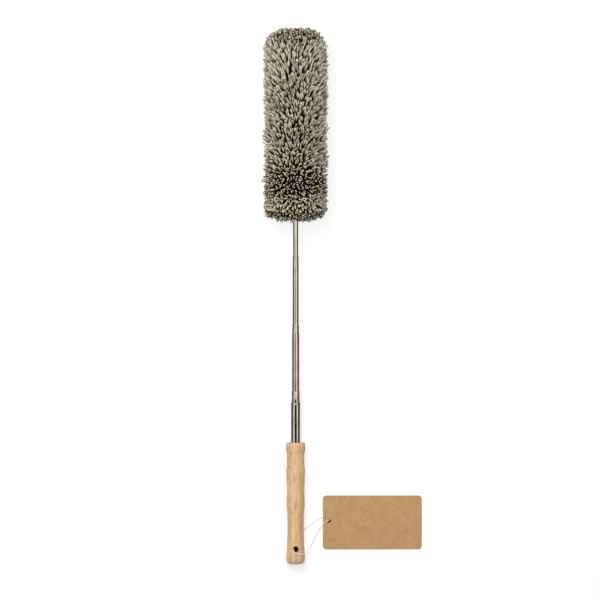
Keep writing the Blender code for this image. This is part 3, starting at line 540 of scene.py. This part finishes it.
# Cuts the cross hole with a turned cutter whose section widens in a round at both mouths of the hole
def cutHole(piece):
    half = np.interp(handle["holeHeight"], *gripWidths())
    past = half + 6
    radius, rounding, sides = handle["holeRadius"], handle["holeRounding"], handle["holeSides"]
    turn = np.linspace(0, math.pi / 2, 7)
    mouth = np.stack([radius + rounding * (1 - np.cos(turn)),
                      half - rounding + rounding * np.sin(turn)], -1)
    body = np.vstack([mouth, (radius + rounding, past)])
    body = np.vstack([body[::-1] * (1, -1), body]) * mm
    turns = np.linspace(0, math.tau, sides, endpoint=False)[None, :, None]
    centre = buttEnd + handle["holeHeight"] * mm * polewards
    ring = np.cos(turns) * rightwards + np.sin(turns) * polewards
    points = centre + body[:, 1:, None] * upwards + body[:, :1, None] * ring
    faces = gridFaces(len(body), sides)[0].tolist()
    faces += [list(range(sides))[::-1], list(range((len(body) - 1) * sides, len(body) * sides))]
    cutter = meshPiece("hole_cutter", points.reshape(-1, 3), faces, bamboo)
    facesOutwards(cutter)
    cut = piece.modifiers.new("hanging_hole", "BOOLEAN")
    cut.operation, cut.solver, cut.object = "DIFFERENCE", "EXACT", cutter
    evaluated = piece.evaluated_get(bpy.context.evaluated_depsgraph_get())
    mesh = bpy.data.meshes.new_from_object(evaluated)
    piece.modifiers.clear()
    piece.data = mesh
    mesh.set_sharp_from_angle(angle=math.radians(35))
    bpy.data.objects.remove(cutter)


bamboo = bambooMaterial()
grip = turnedPiece("turned_bamboo_handle", handleOutline(), handle["sides"], bamboo)
cutHole(grip)
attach(grip, "handle")
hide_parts("bamboo_handle")
print("handle turned")


# Head: loops of microfibre yarn on a knitted sleeve; in millimetres
head = {
    "seed": 11,
    "slices": 8,
    "sleeveRadius": 22.0, "sleeveMouth": 11.2, "sleeveStart": 496.6, "sleeveTaper": 11.0,
    "sleeveEnd": 735.6, "sleeveDome": 14.0, "sleeveHole": 5.3, "sleeveWall": 1.5, "sleeveSides": 72,
    "pileRadius": 45.5, "pileMouth": 13.0, "pileStart": 480.9, "pileEnd": 752.5, "pileTop": 6.0,
    "lowerRounding": 22.0, "lowerFullness": 2.5, "upperRounding": 30.0, "upperFullness": 2.3,
    # Where loops lean: place of the root on the sleeve, place of the tip on the outline
    "rootPlaces": (0, 0.030, 0.073, 0.120, 0.160, 0.200, 0.250, 0.300, 0.350, 0.500, 0.750, 0.896, 1),
    "tipPlaces": (0, 0.060, 0.130, 0.187, 0.228, 0.274, 0.331, 0.380, 0.424, 0.549, 0.756, 0.877, 1),
    # How closely tips stand at places on the outline: more so where loops lean less and hide less
    "crowdPlaces": (0, 0.10, 0.32, 0.45, 0.82, 0.90, 1),
    "crowds": (1.0, 1.4, 1.35, 1.0, 1.0, 1.5, 1.5),
    "courses": 108,
    "tipStep": 5.2,  # from loop to loop round the outline
    "rootStep": 2.0,  # least step round the sleeve
    "rootSink": 0.6,  # how deep in the sleeve a loop starts
    "jitter": 0.4,  # share of a step
    "tipStray": (0.0035, 0.8),  # along the outline, as a share of it, and round it
    "strayRadius": 12,  # nearer the pole than this, tips stray round it no further
    "bend": 0.2,  # how far a loop stands straight out of the sleeve before it leans
    "legPlaces": (0.02, 0.42, 0.70, 0.88, 0.972, 1.0),  # places up a leg of a loop
    "legSpread": (0.3, 0.55, 0.85, 1.0, 0.74, 0.0),  # how far out the leg stands there
    "loopHalfWidth": 1.12, "widthVaries": 0.25,
    "yarnRadius": 0.48, "yarnVaries": 0.15,
    "yarnTurn": 3.2,  # length of one turn of the yarn's two plies
    "sides": 5,
    "shortest": 0.81, "longest": 1.0,  # shares of the way from the sleeve to the outline
    "straying": 0.042, "farthest": 0.18,  # how much further a few loops reach, and at most
    "bundleWidth": 7.0,  # loops lean together in bundles
    "bundleJitter": 0.35,
    "bundlePull": 0.19,  # share of the way to the middle of the bundle
    "bundleDip": 0.05,  # how much shorter loops are at its edge
    "bow": 1.0,
    "twist": 1.2,
    "litFrom": 0.77, "litAt": 0.95,  # places on a loop between which it comes out of the shade
    "flankShade": 1.0,
    "facing": (-0.18, 0.6),  # cosines between which a side of the yarn comes out of the shade
    "upright": 0.02,  # added where a loop points straight out
    "pressBelow": 3.5,  # height under which loops are pressed by the floor
    "tip": "#f6f0da", "side": "#c2b796", "warm": "#f8e9d4",  # dye in the light, from loop to loop
    # colours of painted shade on the loops, part way in and deepest at the sleeve
    "middle": "#524023", "root": "#110b03",
    # sleeve's colour, near black as painted shade of the loops over it
    "backing": "#2a241d",
}


# Outside of the sleeve: a cone at its mouth, a barrel, and a quarter of an oval at its top
def sleeveLine():
    turn = np.linspace(0, math.pi / 2, 25)
    across = head["sleeveHole"] + (head["sleeveRadius"] - head["sleeveHole"]) * np.cos(turn)
    along = head["sleeveEnd"] - head["sleeveDome"] + head["sleeveDome"] * np.sin(turn)
    mouth = (head["sleeveMouth"], head["sleeveStart"])
    shoulder = (head["sleeveRadius"], head["sleeveStart"] + head["sleeveTaper"])
    return np.vstack([mouth, shoulder, np.stack([across, along], -1)])


# Outline that the tips reach: ovals |x|^n + |y|^n = 1 at both ends and a barrel between
def pileLine():
    turn = np.linspace(0, math.pi / 2, 25)
    n, m = 2 / head["lowerFullness"], 2 / head["upperFullness"]
    mouth, top, wide = head["pileMouth"], head["pileTop"], head["pileRadius"]
    low = np.stack([mouth + (wide - mouth) * np.sin(turn) ** n,
                    head["pileStart"] + head["lowerRounding"] * (1 - np.cos(turn) ** n)], -1)
    high = np.stack([top + (wide - top) * np.cos(turn) ** m,
                     head["pileEnd"] - head["upperRounding"] * (1 - np.sin(turn) ** m)], -1)
    return np.vstack([low, high])


# Radius and height at shares of a line's own length, and that length
def alongLine(line, share):
    run = runAlong(line)
    wanted = np.clip(share, 0, 1) * run[-1]
    return np.interp(wanted, run, line[:, 0]), np.interp(wanted, run, line[:, 1]), run[-1]


# Directions out of an outline at shares of its length and turns round the pole
def outlineWays(line, share, turn):
    step = 0.004
    ahead, behind = alongLine(line, share + step), alongLine(line, share - step)
    way = np.stack([ahead[1] - behind[1], behind[0] - ahead[0]])
    way /= np.maximum(np.hypot(*way), 1e-9)
    return onPole(way[0], way[1], turn) - buttEnd


# Roots in courses round the sleeve, closer together where their tips spread, every other course half a
# stitch on
def stitches(random):
    sleeve, pile, courses = sleeveLine(), pileLine(), head["courses"]
    fine = np.linspace(0, 1, 400)
    atTip = np.interp(fine, head["rootPlaces"], head["tipPlaces"])
    crowd = np.cumsum(np.gradient(atTip) * np.interp(atTip, head["crowdPlaces"], head["crowds"]))
    middles = np.interp((np.arange(courses) + 0.5) / courses, crowd / crowd[-1], fine)
    rootRadii = alongLine(sleeve, middles)[0]
    tipRadii = alongLine(pile, np.interp(middles, head["rootPlaces"], head["tipPlaces"]))[0]
    counts = np.minimum(math.tau * tipRadii / head["tipStep"], math.tau * rootRadii / head["rootStep"])
    shares, turns = [], []
    for course, count in enumerate(counts.round().astype(int)):
        wobble = random.uniform(-1, 1, (2, count)) * head["jitter"]
        shares.append(middles[course] + wobble[0] / courses)
        turns.append((np.arange(count) + course % 2 / 2 + wobble[1]) * math.tau / count)
    return np.concatenate(shares), np.concatenate(turns)


# Middles of the bundles, strewn over the outline: each tip's nearest one, and how near the bundle's edge
# the tip is, from 0 in the middle to 1 halfway to the next middle
def bundled(random, tips):
    pile, width, jitter = pileLine(), head["bundleWidth"], head["bundleJitter"]
    run = alongLine(pile, 0.0)[2]
    middles = []
    for share in (np.arange(round(run / width)) + 0.5) * width / run:
        radius, height, _ = alongLine(pile, share)
        count = max(3, round(math.tau * radius / width))
        places = np.arange(count) + random.uniform(-jitter, jitter, count) + random.uniform()
        heights = height + random.uniform(-jitter, jitter, count) * width
        middles.append(onPole(radius * mm, heights * mm, places * math.tau / count))
    middles = np.concatenate(middles)
    apart = np.linalg.norm(tips[:, None] - middles[None], axis=2)
    nearest = np.argsort(apart, axis=1)[:, :2]
    near, far = np.take_along_axis(apart, nearest, axis=1).T
    return middles[nearest[:, 0]], 2 * near / (near + far)


# Vectors made one long
def unit(vectors):
    return vectors / np.linalg.norm(vectors, axis=-1, keepdims=True)


# Smoothstep, s * s * (3 - 2 s), of values from low to high
def eased(values, low, high):
    s = np.clip((values - low) / (high - low), 0, 1)
    return s * s * (3 - 2 * s)


# Each loop runs up one leg, round its tip and down the other: a Bezier from the sleeve to the tip, whose
# legs stand apart by +-width * spread(t) along a side direction that turns slowly, with a ring of points
# round the yarn at every step; returned with how much light reaches each point, worked out here as the
# painted light and shade of the yarn's colour
def loopRings(roots, rootWays, tips, outwards, random):
    count = len(roots)
    length = np.linalg.norm(tips - roots, axis=1)[:, None]
    bend = roots + rootWays * length * head["bend"]
    upLeg, apart = np.array(head["legPlaces"]), np.array(head["legSpread"])
    t = np.concatenate([upLeg, upLeg[-2::-1]])
    spread = np.concatenate([-apart, apart[-2::-1]])
    f = t[None, :, None]
    middle = (1 - f) ** 2 * roots[:, None] + 2 * f * (1 - f) * bend[:, None] + f**2 * tips[:, None]
    way = unit(2 * (1 - f) * (bend - roots)[:, None] + 2 * f * (tips - bend)[:, None])
    around = unit(np.cross(polewards, roots - buttEnd))[:, None]
    across = unit(np.cross(way, np.cross(around, way)))
    over = np.cross(way, across)
    bowTurn = random.uniform(0, math.tau, (count, 1, 1))
    bow = random.normal(0, head["bow"] * mm, (count, 1, 1)) * np.sin(math.pi * f)
    middle = middle + bow * (np.cos(bowTurn) * across + np.sin(bowTurn) * over)
    roll = random.uniform(0, math.pi, (count, 1, 1))
    roll = roll + head["twist"] * random.choice([-1, 1], (count, 1, 1)) * (f - 1)
    side = np.cos(roll) * across + np.sin(roll) * over
    varies = head["widthVaries"]
    width = head["loopHalfWidth"] * mm * random.uniform(1 - varies, 1 + varies, (count, 1, 1))
    path = middle + width * spread[None, :, None] * side
    tangent = unit(np.gradient(path, axis=1))
    flat = unit(np.cross(way, side))
    thick = unit(np.cross(tangent, flat))
    flat = np.cross(thick, tangent)
    turns = np.linspace(0, math.tau, head["sides"], endpoint=False)[None, None, :, None]
    varies = head["yarnVaries"]
    radius = head["yarnRadius"] * mm * random.uniform(1 - varies, 1 + varies, (count, 1, 1, 1))
    facing = flat[:, :, None] * np.cos(turns) + thick[:, :, None] * np.sin(turns)
    # Light reaches what faces out of the pile, or ahead at a tip: smoothstep of the larger cosine
    aside = outwards[:, None] - way * (way * outwards[:, None]).sum(-1, keepdims=True)
    ahead = (facing * way[:, :, None]).sum(-1)
    upright = (1 - np.linalg.norm(aside, axis=-1))[..., None]
    out = (facing * aside[:, :, None]).sum(-1) + head["upright"] * upright
    lit = eased(np.maximum(ahead, out), *head["facing"])
    light = eased(t, head["litFrom"], head["litAt"])[None, :, None] * (1 - head["flankShade"] * (1 - lit))
    return path[:, :, None] + radius * facing, light


# Heights below a level z0 shrink towards the floor: z0 * exp(z / z0 - 1)
def pressedByFloor(points):
    level, height = head["pressBelow"] * mm, points[..., 2]
    points[..., 2] = np.where(height < level, level * np.exp(height / level - 1), height)
    return points


# Polyester microfibre yarn, spun in loops and dyed taupe: matt, with painted light and shade, paler at the
# tips that the light reaches and painted darker towards the sleeve and on shaded flanks, a soft sheen
# painted only where lit, and the twist of the yarn as fine slanting ridges with painted shade in their
# grooves
def microfibreMaterial():
    made, tree, shader = newMaterial("taupe_microfibre_yarn")
    tone = addNode(tree, "Attribute", attribute_name="loopTone")
    light = addNode(tree, "Attribute", attribute_name="loopLight")
    place = addNode(tree, "TexCoord").outputs["UV"]
    dyed = addNode(tree, "ValToRGB", {"Fac": tone.outputs["Fac"]},
                   stops=[(0.0, head["side"]), (0.55, head["tip"]), (1.0, head["warm"])])
    shade = addNode(tree, "ValToRGB", {"Fac": light.outputs["Fac"]},
                    stops=[(0.0, head["root"]), (0.4, head["middle"])])
    lit = addNode(tree, "MapRange", {"Value": light.outputs["Fac"], "From Min": 0.3, "From Max": 0.66},
                  interpolation_type="SMOOTHSTEP")
    body = addNode(tree, "MixRGB", {"Fac": lit, "Color1": shade, "Color2": dyed})
    turns = addNode(tree, "Mapping", {"Vector": place, "Scale": (1.0, 1 / head["yarnTurn"], 1.0)})
    # A wave's period is 0.2 pi / scale, so this one has two ridges in each turn
    strands = addNode(tree, "TexWave", {
        "Vector": turns, "Scale": 0.4 * math.pi, "Distortion": 0.6}, bands_direction="DIAGONAL")
    # Painted shade in the grooves between the plies: the colour is darker there
    grooves = addNode(tree, "MapRange", {"Value": strands.outputs["Fac"], "To Min": 0.75, "To Max": 1.05})
    colour = addNode(tree, "MixRGB", {"Fac": 1.0, "Color1": body, "Color2": grooves}, blend_type="MULTIPLY")
    bump = addNode(tree, "Bump", {"Height": strands.outputs["Fac"], "Distance": 0.15 * mm, "Strength": 0.6})
    # Painted sheen: its weight follows the painted light, so only lit parts have it
    setSockets(shader, {
        "Base Color": colour, "Normal": bump,
        "Sheen Weight": lit, "Sheen Roughness": 0.4, "Roughness": 0.8,
        "Specular IOR Level": 0.08})
    return made


# Warp-knitted polyester backing in the same dye, dull: coloured near black as painted shade of the loops
# over it, with 1.5 mm stitches
def knitMaterial():
    made, tree, shader = newMaterial("knitted_polyester_backing")
    place = addNode(tree, "TexCoord").outputs["Object"]
    stitched = addNode(tree, "TexVoronoi", {"Vector": place, "Scale": 650.0})
    colour = addNode(tree, "ValToRGB", {"Fac": stitched},
                     stops=[(0.1, head["root"]), (0.7, head["backing"])])
    bump = addNode(tree, "Bump", {"Height": stitched, "Distance": 0.5 * mm}, invert=True)
    setSockets(shader, {"Base Color": colour, "Normal": bump, "Roughness": 0.95})
    return made


# All the loops of the head, one piece for each slice of the sleeve that their roots are in, with UV in
# millimetres along the yarn
def makePile():
    random = np.random.default_rng(head["seed"])
    sleeve, pile = sleeveLine(), pileLine()
    share, turn = stitches(random)
    rootRadius, rootHeight, _ = alongLine(sleeve, share)
    roots = onPole((rootRadius - head["rootSink"]) * mm, rootHeight * mm, turn)
    rootWays = outlineWays(sleeve, share, turn)
    strayAlong, strayRound = head["tipStray"]
    tipPlace = np.interp(share, head["rootPlaces"], head["tipPlaces"])
    tipPlace = tipPlace + random.normal(0, strayAlong, len(share))
    tipRadius, tipHeight, _ = alongLine(pile, tipPlace)
    tipTurn = turn + random.normal(0, strayRound, len(share)) / np.maximum(tipRadius, head["strayRadius"])
    tips = onPole(tipRadius * mm, tipHeight * mm, tipTurn)
    middles, edge = bundled(random, tips)
    tips += head["bundlePull"] * (middles - tips)
    fill = random.uniform(head["shortest"], head["longest"], len(share)) * (1 - head["bundleDip"] * edge**2)
    fill += random.exponential(head["straying"], len(share)).clip(0, head["farthest"])
    tips = roots + (tips - roots) * fill[:, None]
    rings, light = loopRings(roots, rootWays, tips, outlineWays(pile, tipPlace, turn), random)
    rings = pressedByFloor(rings)
    tone = random.uniform(0, 1, len(share))
    yarn = microfibreMaterial()
    sliceOf = (share * head["slices"]).astype(int).clip(0, head["slices"] - 1)
    for number in range(head["slices"]):
        own = sliceOf == number
        stretches = np.linalg.norm(np.diff(rings[own].mean(axis=2), axis=1), axis=2).mean(axis=0)
        run = np.concatenate([[0], np.cumsum(stretches)]) / mm
        tones = np.repeat(tone[own], rings[0, ..., 0].size)
        piece = yarnPiece(f"microfibre_loops_{number + 1}", rings[own], yarn, run,
                          {"loopTone": tones, "loopLight": light[own].ravel()})
        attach(piece, "head")
        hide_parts(f"pile_slice_{number + 1}")
    print(f"{len(share)} loops of yarn")


# The sleeve's outside and inside lines, joined into a closed wall
def makeSleeve():
    outside = sleeveLine()
    inside = outside - [[head["sleeveWall"], 0]]
    wall = np.vstack([outside, inside[::-1]]) * mm
    sleeve = turnedPiece("knitted_sleeve", wall, head["sleeveSides"], knitMaterial(), sharpDegrees=60)
    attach(sleeve, "head")
    print("sleeve knitted")


makePile()
makeSleeve()


# Tag: it and the hidden parts keep their CAD shapes and get their own materials
board = {
    "colour": "#b38f67", "fleck": "#aa855d", "pale": "#bb9771",
    "hole": (47.0 * mm, 61.1 * mm, 0),
}


# Unbleached kraft board, calendered and die cut: brown and matt, with darker and paler 0.6 mm fibres
def kraftMaterial():
    made, tree, shader = newMaterial("unbleached_kraft_board")
    place = addNode(tree, "TexCoord").outputs["Object"]
    clouds = addNode(tree, "TexNoise", {"Vector": place, "Scale": 90.0, "Detail": 6.0, "Roughness": 0.7})
    stretch = addNode(tree, "Mapping", {"Vector": place, "Scale": (0.25, 1.0, 1.0)})
    fibres = addNode(tree, "TexNoise", {
        "Vector": stretch, "Scale": 1500.0, "Detail": 3.0, "Distortion": 1.5})
    base = addNode(tree, "ValToRGB", {"Fac": clouds},
                   stops=[(0.3, board["fleck"]), (0.5, board["colour"]), (0.72, board["pale"])])
    flecks = addNode(tree, "MapRange", {
        "Value": fibres, "From Min": 0.35, "From Max": 0.65, "To Min": 0.84, "To Max": 1.08})
    colour = addNode(tree, "MixRGB", {"Fac": 1.0, "Color1": base, "Color2": flecks}, blend_type="MULTIPLY")
    bump = addNode(tree, "Bump", {"Height": fibres, "Distance": 0.03 * mm, "Strength": 0.5})
    setSockets(shader, {"Base Color": colour, "Normal": bump, "Roughness": 0.85})
    return made


# Moulded plastic or foam: one dye with a fine mottle and a slightly rough skin, its grain in metres
def mouldedMaterial(name, dark, pale, grain, roughness):
    made, tree, shader = newMaterial(name)
    place = addNode(tree, "TexCoord").outputs["Object"]
    skin = addNode(tree, "TexNoise", {"Vector": place, "Scale": 1 / grain, "Detail": 3.0})
    colour = addNode(tree, "ValToRGB", {"Fac": skin}, stops=[(0.35, dark), (0.65, pale)])
    bump = addNode(tree, "Bump", {"Height": skin, "Distance": grain / 12, "Strength": 0.4})
    setSockets(shader, {"Base Color": colour, "Normal": bump, "Roughness": roughness})
    return made


finishes = {
    "nylon": mouldedMaterial("black_nylon", "#1b1b1b", "#242424", 0.4 * mm, 0.5),
    "polypropylene": mouldedMaterial("grey_polypropylene", "#7d7a76", "#86837f", 0.5 * mm, 0.45),
    "sheathed_wire": mouldedMaterial("pvc_wire_sheath", "#55534f", "#5d5b57", 0.6 * mm, 0.5),
    "foam": mouldedMaterial("polyurethane_foam", "#7b766d", "#98928a", 1.2 * mm, 0.95),
    "kraft": kraftMaterial(),
}
slotOf = {part["node"]: part["material_slot"] for part in record["subparts"]}
for name, solid in nodes.items():
    finish = finishes.get(slotOf.get(name))
    if finish:
        for held in solid.material_slots:
            held.material = finish
print("tag and inner parts finished")


# Floor and studio light, in metres
studio = {
    "floorSize": 60.0,  # past the camera, so that a level view shows no edge
    # How much of its own light and shadow the white floor shows, near the handle and beyond
    "floorShadow": (0.27, 0.15),
    "shadowFade": (-0.22, -0.05),  # along Y, between the two
    # painted shade: the paper's colour under both holes
    "holeShade": "#40261a",
    "holeShades": (5 * mm, 3 * mm),  # radii under the hanging hole and the tag's hole
    "world": 0.12,
    # Place, size, radiance and tint of each softbox, turned to the duster, and whether metal shows it
    "boxes": (
        ((-1.15, 0.15, 1.1), (1.2, 2.6), 0.28, "#fff8ee", False),
        ((0.75, 0.05, 1.3), (0.85, 2.6), 0.6, "#fdfdff", True),
        ((-0.3, 0.65, 2.1), (0.7, 1.5), 17.6, "#fffdf8", False),
    ),
    # Glowing black and brown cards that only polished metal shows, painted reflections: low and high corner
    # of each, then its tones before and after a fade along Y, and where that is
    "cards": {
        "card_over_first_tube": (
            (-0.50, -0.43, 1.2), (0.72, -0.285, 1.2), ("#020101", "#020101"), (-0.3, 0.3)),
        "card_over_others": (
            (-0.27, -0.285, 1.2), (0.22, -0.05, 1.2), ("#43372b", "#a29683"), (-0.22, -0.18)),
        "card_left": ((-1.8, -3.0, 0), (-1.8, -0.37, 0.75), ("#1f170f", "#1f170f"), (-0.3, 0.3)),
        "card_left_high": ((-1.8, -0.37, 0), (-1.8, 3.0, 0.97), ("#1f170f", "#1f170f"), (-0.3, 0.3)),
        "card_right": ((1.8, -3.0, 0), (1.8, -0.37, 0.92), ("#0e0705", "#0e0705"), (-0.3, 0.3)),
        "card_right_high": ((1.8, -0.37, 0), (1.8, 3.0, 1.75), ("#0e0705", "#0e0705"), (-0.3, 0.3)),
        # Glowing strips just above the floor by the pole, seen only in metal: painted reflections of a
        # darker floor
        "paper_left": ((-0.6, -0.25, 0.001), (-0.008, 0.8, 0.001), ("#b9ae9f", "#93886f"), (-0.20, 0.05)),
        "paper_right": ((0.008, -0.25, 0.001), (0.6, 0.8, 0.001), ("#a79d90", "#3a2a25"), (-0.20, -0.02)),
    },
}


# 1 for rays from the camera and for those that metal or glass sends on, else 0
def seenDirectly(tree):
    path = addNode(tree, "LightPath")
    seen = path.outputs["Is Camera Ray"]
    for kind in ("Is Glossy Ray", "Is Transmission Ray"):
        seen = addNode(tree, "Math", {0: seen, 1: path.outputs[kind]}, operation="MAXIMUM")
    return seen


# Seamless white paper: matt, with a barely visible tooth, shown as white with a share of its own shadows,
# and painted dark brown shade under the hanging hole and the tag's hole
def floorMaterial():
    made, tree, shader = newMaterial("white_studio_paper")
    place = addNode(tree, "TexCoord").outputs["Object"]
    tooth = addNode(tree, "TexNoise", {"Vector": place, "Scale": 900.0, "Detail": 2.0})
    paper = addNode(tree, "ValToRGB", {"Fac": tooth}, stops=[(0.3, "#f8f8f7"), (0.7, "#fcfcfb")])
    colour = paper
    axes = addNode(tree, "SeparateXYZ", {"Vector": place})
    near, beyond = studio["floorShadow"]
    start, end = studio["shadowFade"]
    glow = addNode(tree, "MapRange", {
        "Value": axes.outputs["Y"], "From Min": start, "From Max": end,
        "To Min": 1 - near, "To Max": 1 - beyond})
    share = addNode(tree, "Math", {0: seenDirectly(tree), 1: glow}, operation="MULTIPLY")
    # Under the hanging hole and under the tag's hole the paper shows all of its own shade, and its colour
    # is darkened to a brown there as painted shade
    below = buttEnd + handle["holeHeight"] * mm * polewards
    below -= upwards * below[2] / upwards[2]
    for middle, radius in zip((below, board["hole"] + buttFloor), studio["holeShades"]):
        apart = addNode(tree, "VectorMath", {0: place, 1: tuple(middle)}, operation="DISTANCE")
        clear = addNode(tree, "MapRange", {
            "Value": apart.outputs["Value"], "From Min": radius, "From Max": radius + mm})
        share = addNode(tree, "Math", {0: share, 1: clear}, operation="MULTIPLY")
        shade = addNode(tree, "ValToRGB", {"Fac": clear},
                        stops=[(0.0, studio["holeShade"]), (1.0, "#ffffff")])
        colour = addNode(tree, "MixRGB", {"Fac": 1.0, "Color1": colour, "Color2": shade},
                         blend_type="MULTIPLY")
    setSockets(shader, {"Base Color": colour, "Roughness": 0.9, "Specular IOR Level": 0.0})
    white = addNode(tree, "Emission", {"Color": linear("#ffffff"), "Strength": 1.0})
    mixed = addNode(tree, "MixShader", {0: share, 1: shader, 2: white})
    output = next(held for held in tree.nodes if held.type == "OUTPUT_MATERIAL")
    setSockets(output, {"Surface": mixed})
    return made


# Glowing card, a painted reflection whose tone eases along Y, seen as it is written
def cardMaterial(name, tones, fade):
    made, tree, glow = newMaterial(name, "Emission")
    axes = addNode(tree, "SeparateXYZ", {"Vector": addNode(tree, "TexCoord").outputs["Object"]})
    ease = addNode(tree, "MapRange", {"Value": axes.outputs["Y"], "From Min": fade[0], "From Max": fade[1]})
    colour = addNode(tree, "ValToRGB", {"Fac": ease}, stops=[(0.0, tones[0]), (1.0, tones[1])])
    setSockets(glow, {"Color": colour})
    return made


half = studio["floorSize"] / 2
floorCorners = [(-half, -half, 0), (half, -half, 0), (half, half, 0), (-half, half, 0)]
meshPiece("studio_floor", floorCorners, [(0, 1, 2, 3)], floorMaterial())

for name, (low, high, tones, fade) in studio["cards"].items():
    # An upright card stands in the plane of Y and Z, a lying one in that of X and Y
    lying = low[2] == high[2]
    second = (high[0], low[1], low[2]) if lying else (low[0], low[1], high[2])
    corners = [low, second, high, (low[0], high[1], low[2])]
    card = meshPiece(name, corners, [(0, 1, 2, 3)], cardMaterial(name, tones, fade))
    # Hidden from the camera and from light: seen only in metal, as a painted reflection
    card.visible_camera = card.visible_diffuse = card.visible_shadow = card.visible_transmission = False

for number, (spot, size, radiance, tint, inMetal) in enumerate(studio["boxes"]):
    lamp = bpy.data.lights.new(f"softbox_{number + 1}", "AREA")
    lamp.shape, lamp.size, lamp.size_y = "RECTANGLE", size[0], size[1]
    lamp.energy = radiance * math.pi * size[0] * size[1]
    lamp.color = linear(tint)[:3]
    box = bpy.data.objects.new(lamp.name, lamp)
    box.visible_glossy, box.visible_camera = inMetal, False
    box.location = spot
    box.rotation_euler = (-Vector(spot)).to_track_quat("-Z", "Y").to_euler()
    bpy.context.scene.collection.objects.link(box)

world = bpy.data.worlds.new("studio")
bpy.context.scene.world = world
world.use_nodes = True
air = world.node_tree
air.nodes.clear()
level = addNode(air, "MapRange", {"Value": seenDirectly(air), "To Min": studio["world"], "To Max": 1.0})
sky = addNode(air, "Background", {"Color": linear("#ffffff"), "Strength": level})
addNode(air, "OutputWorld", {"Surface": sky})
bpy.context.scene.view_settings.view_transform = "Standard"
print("studio lit")
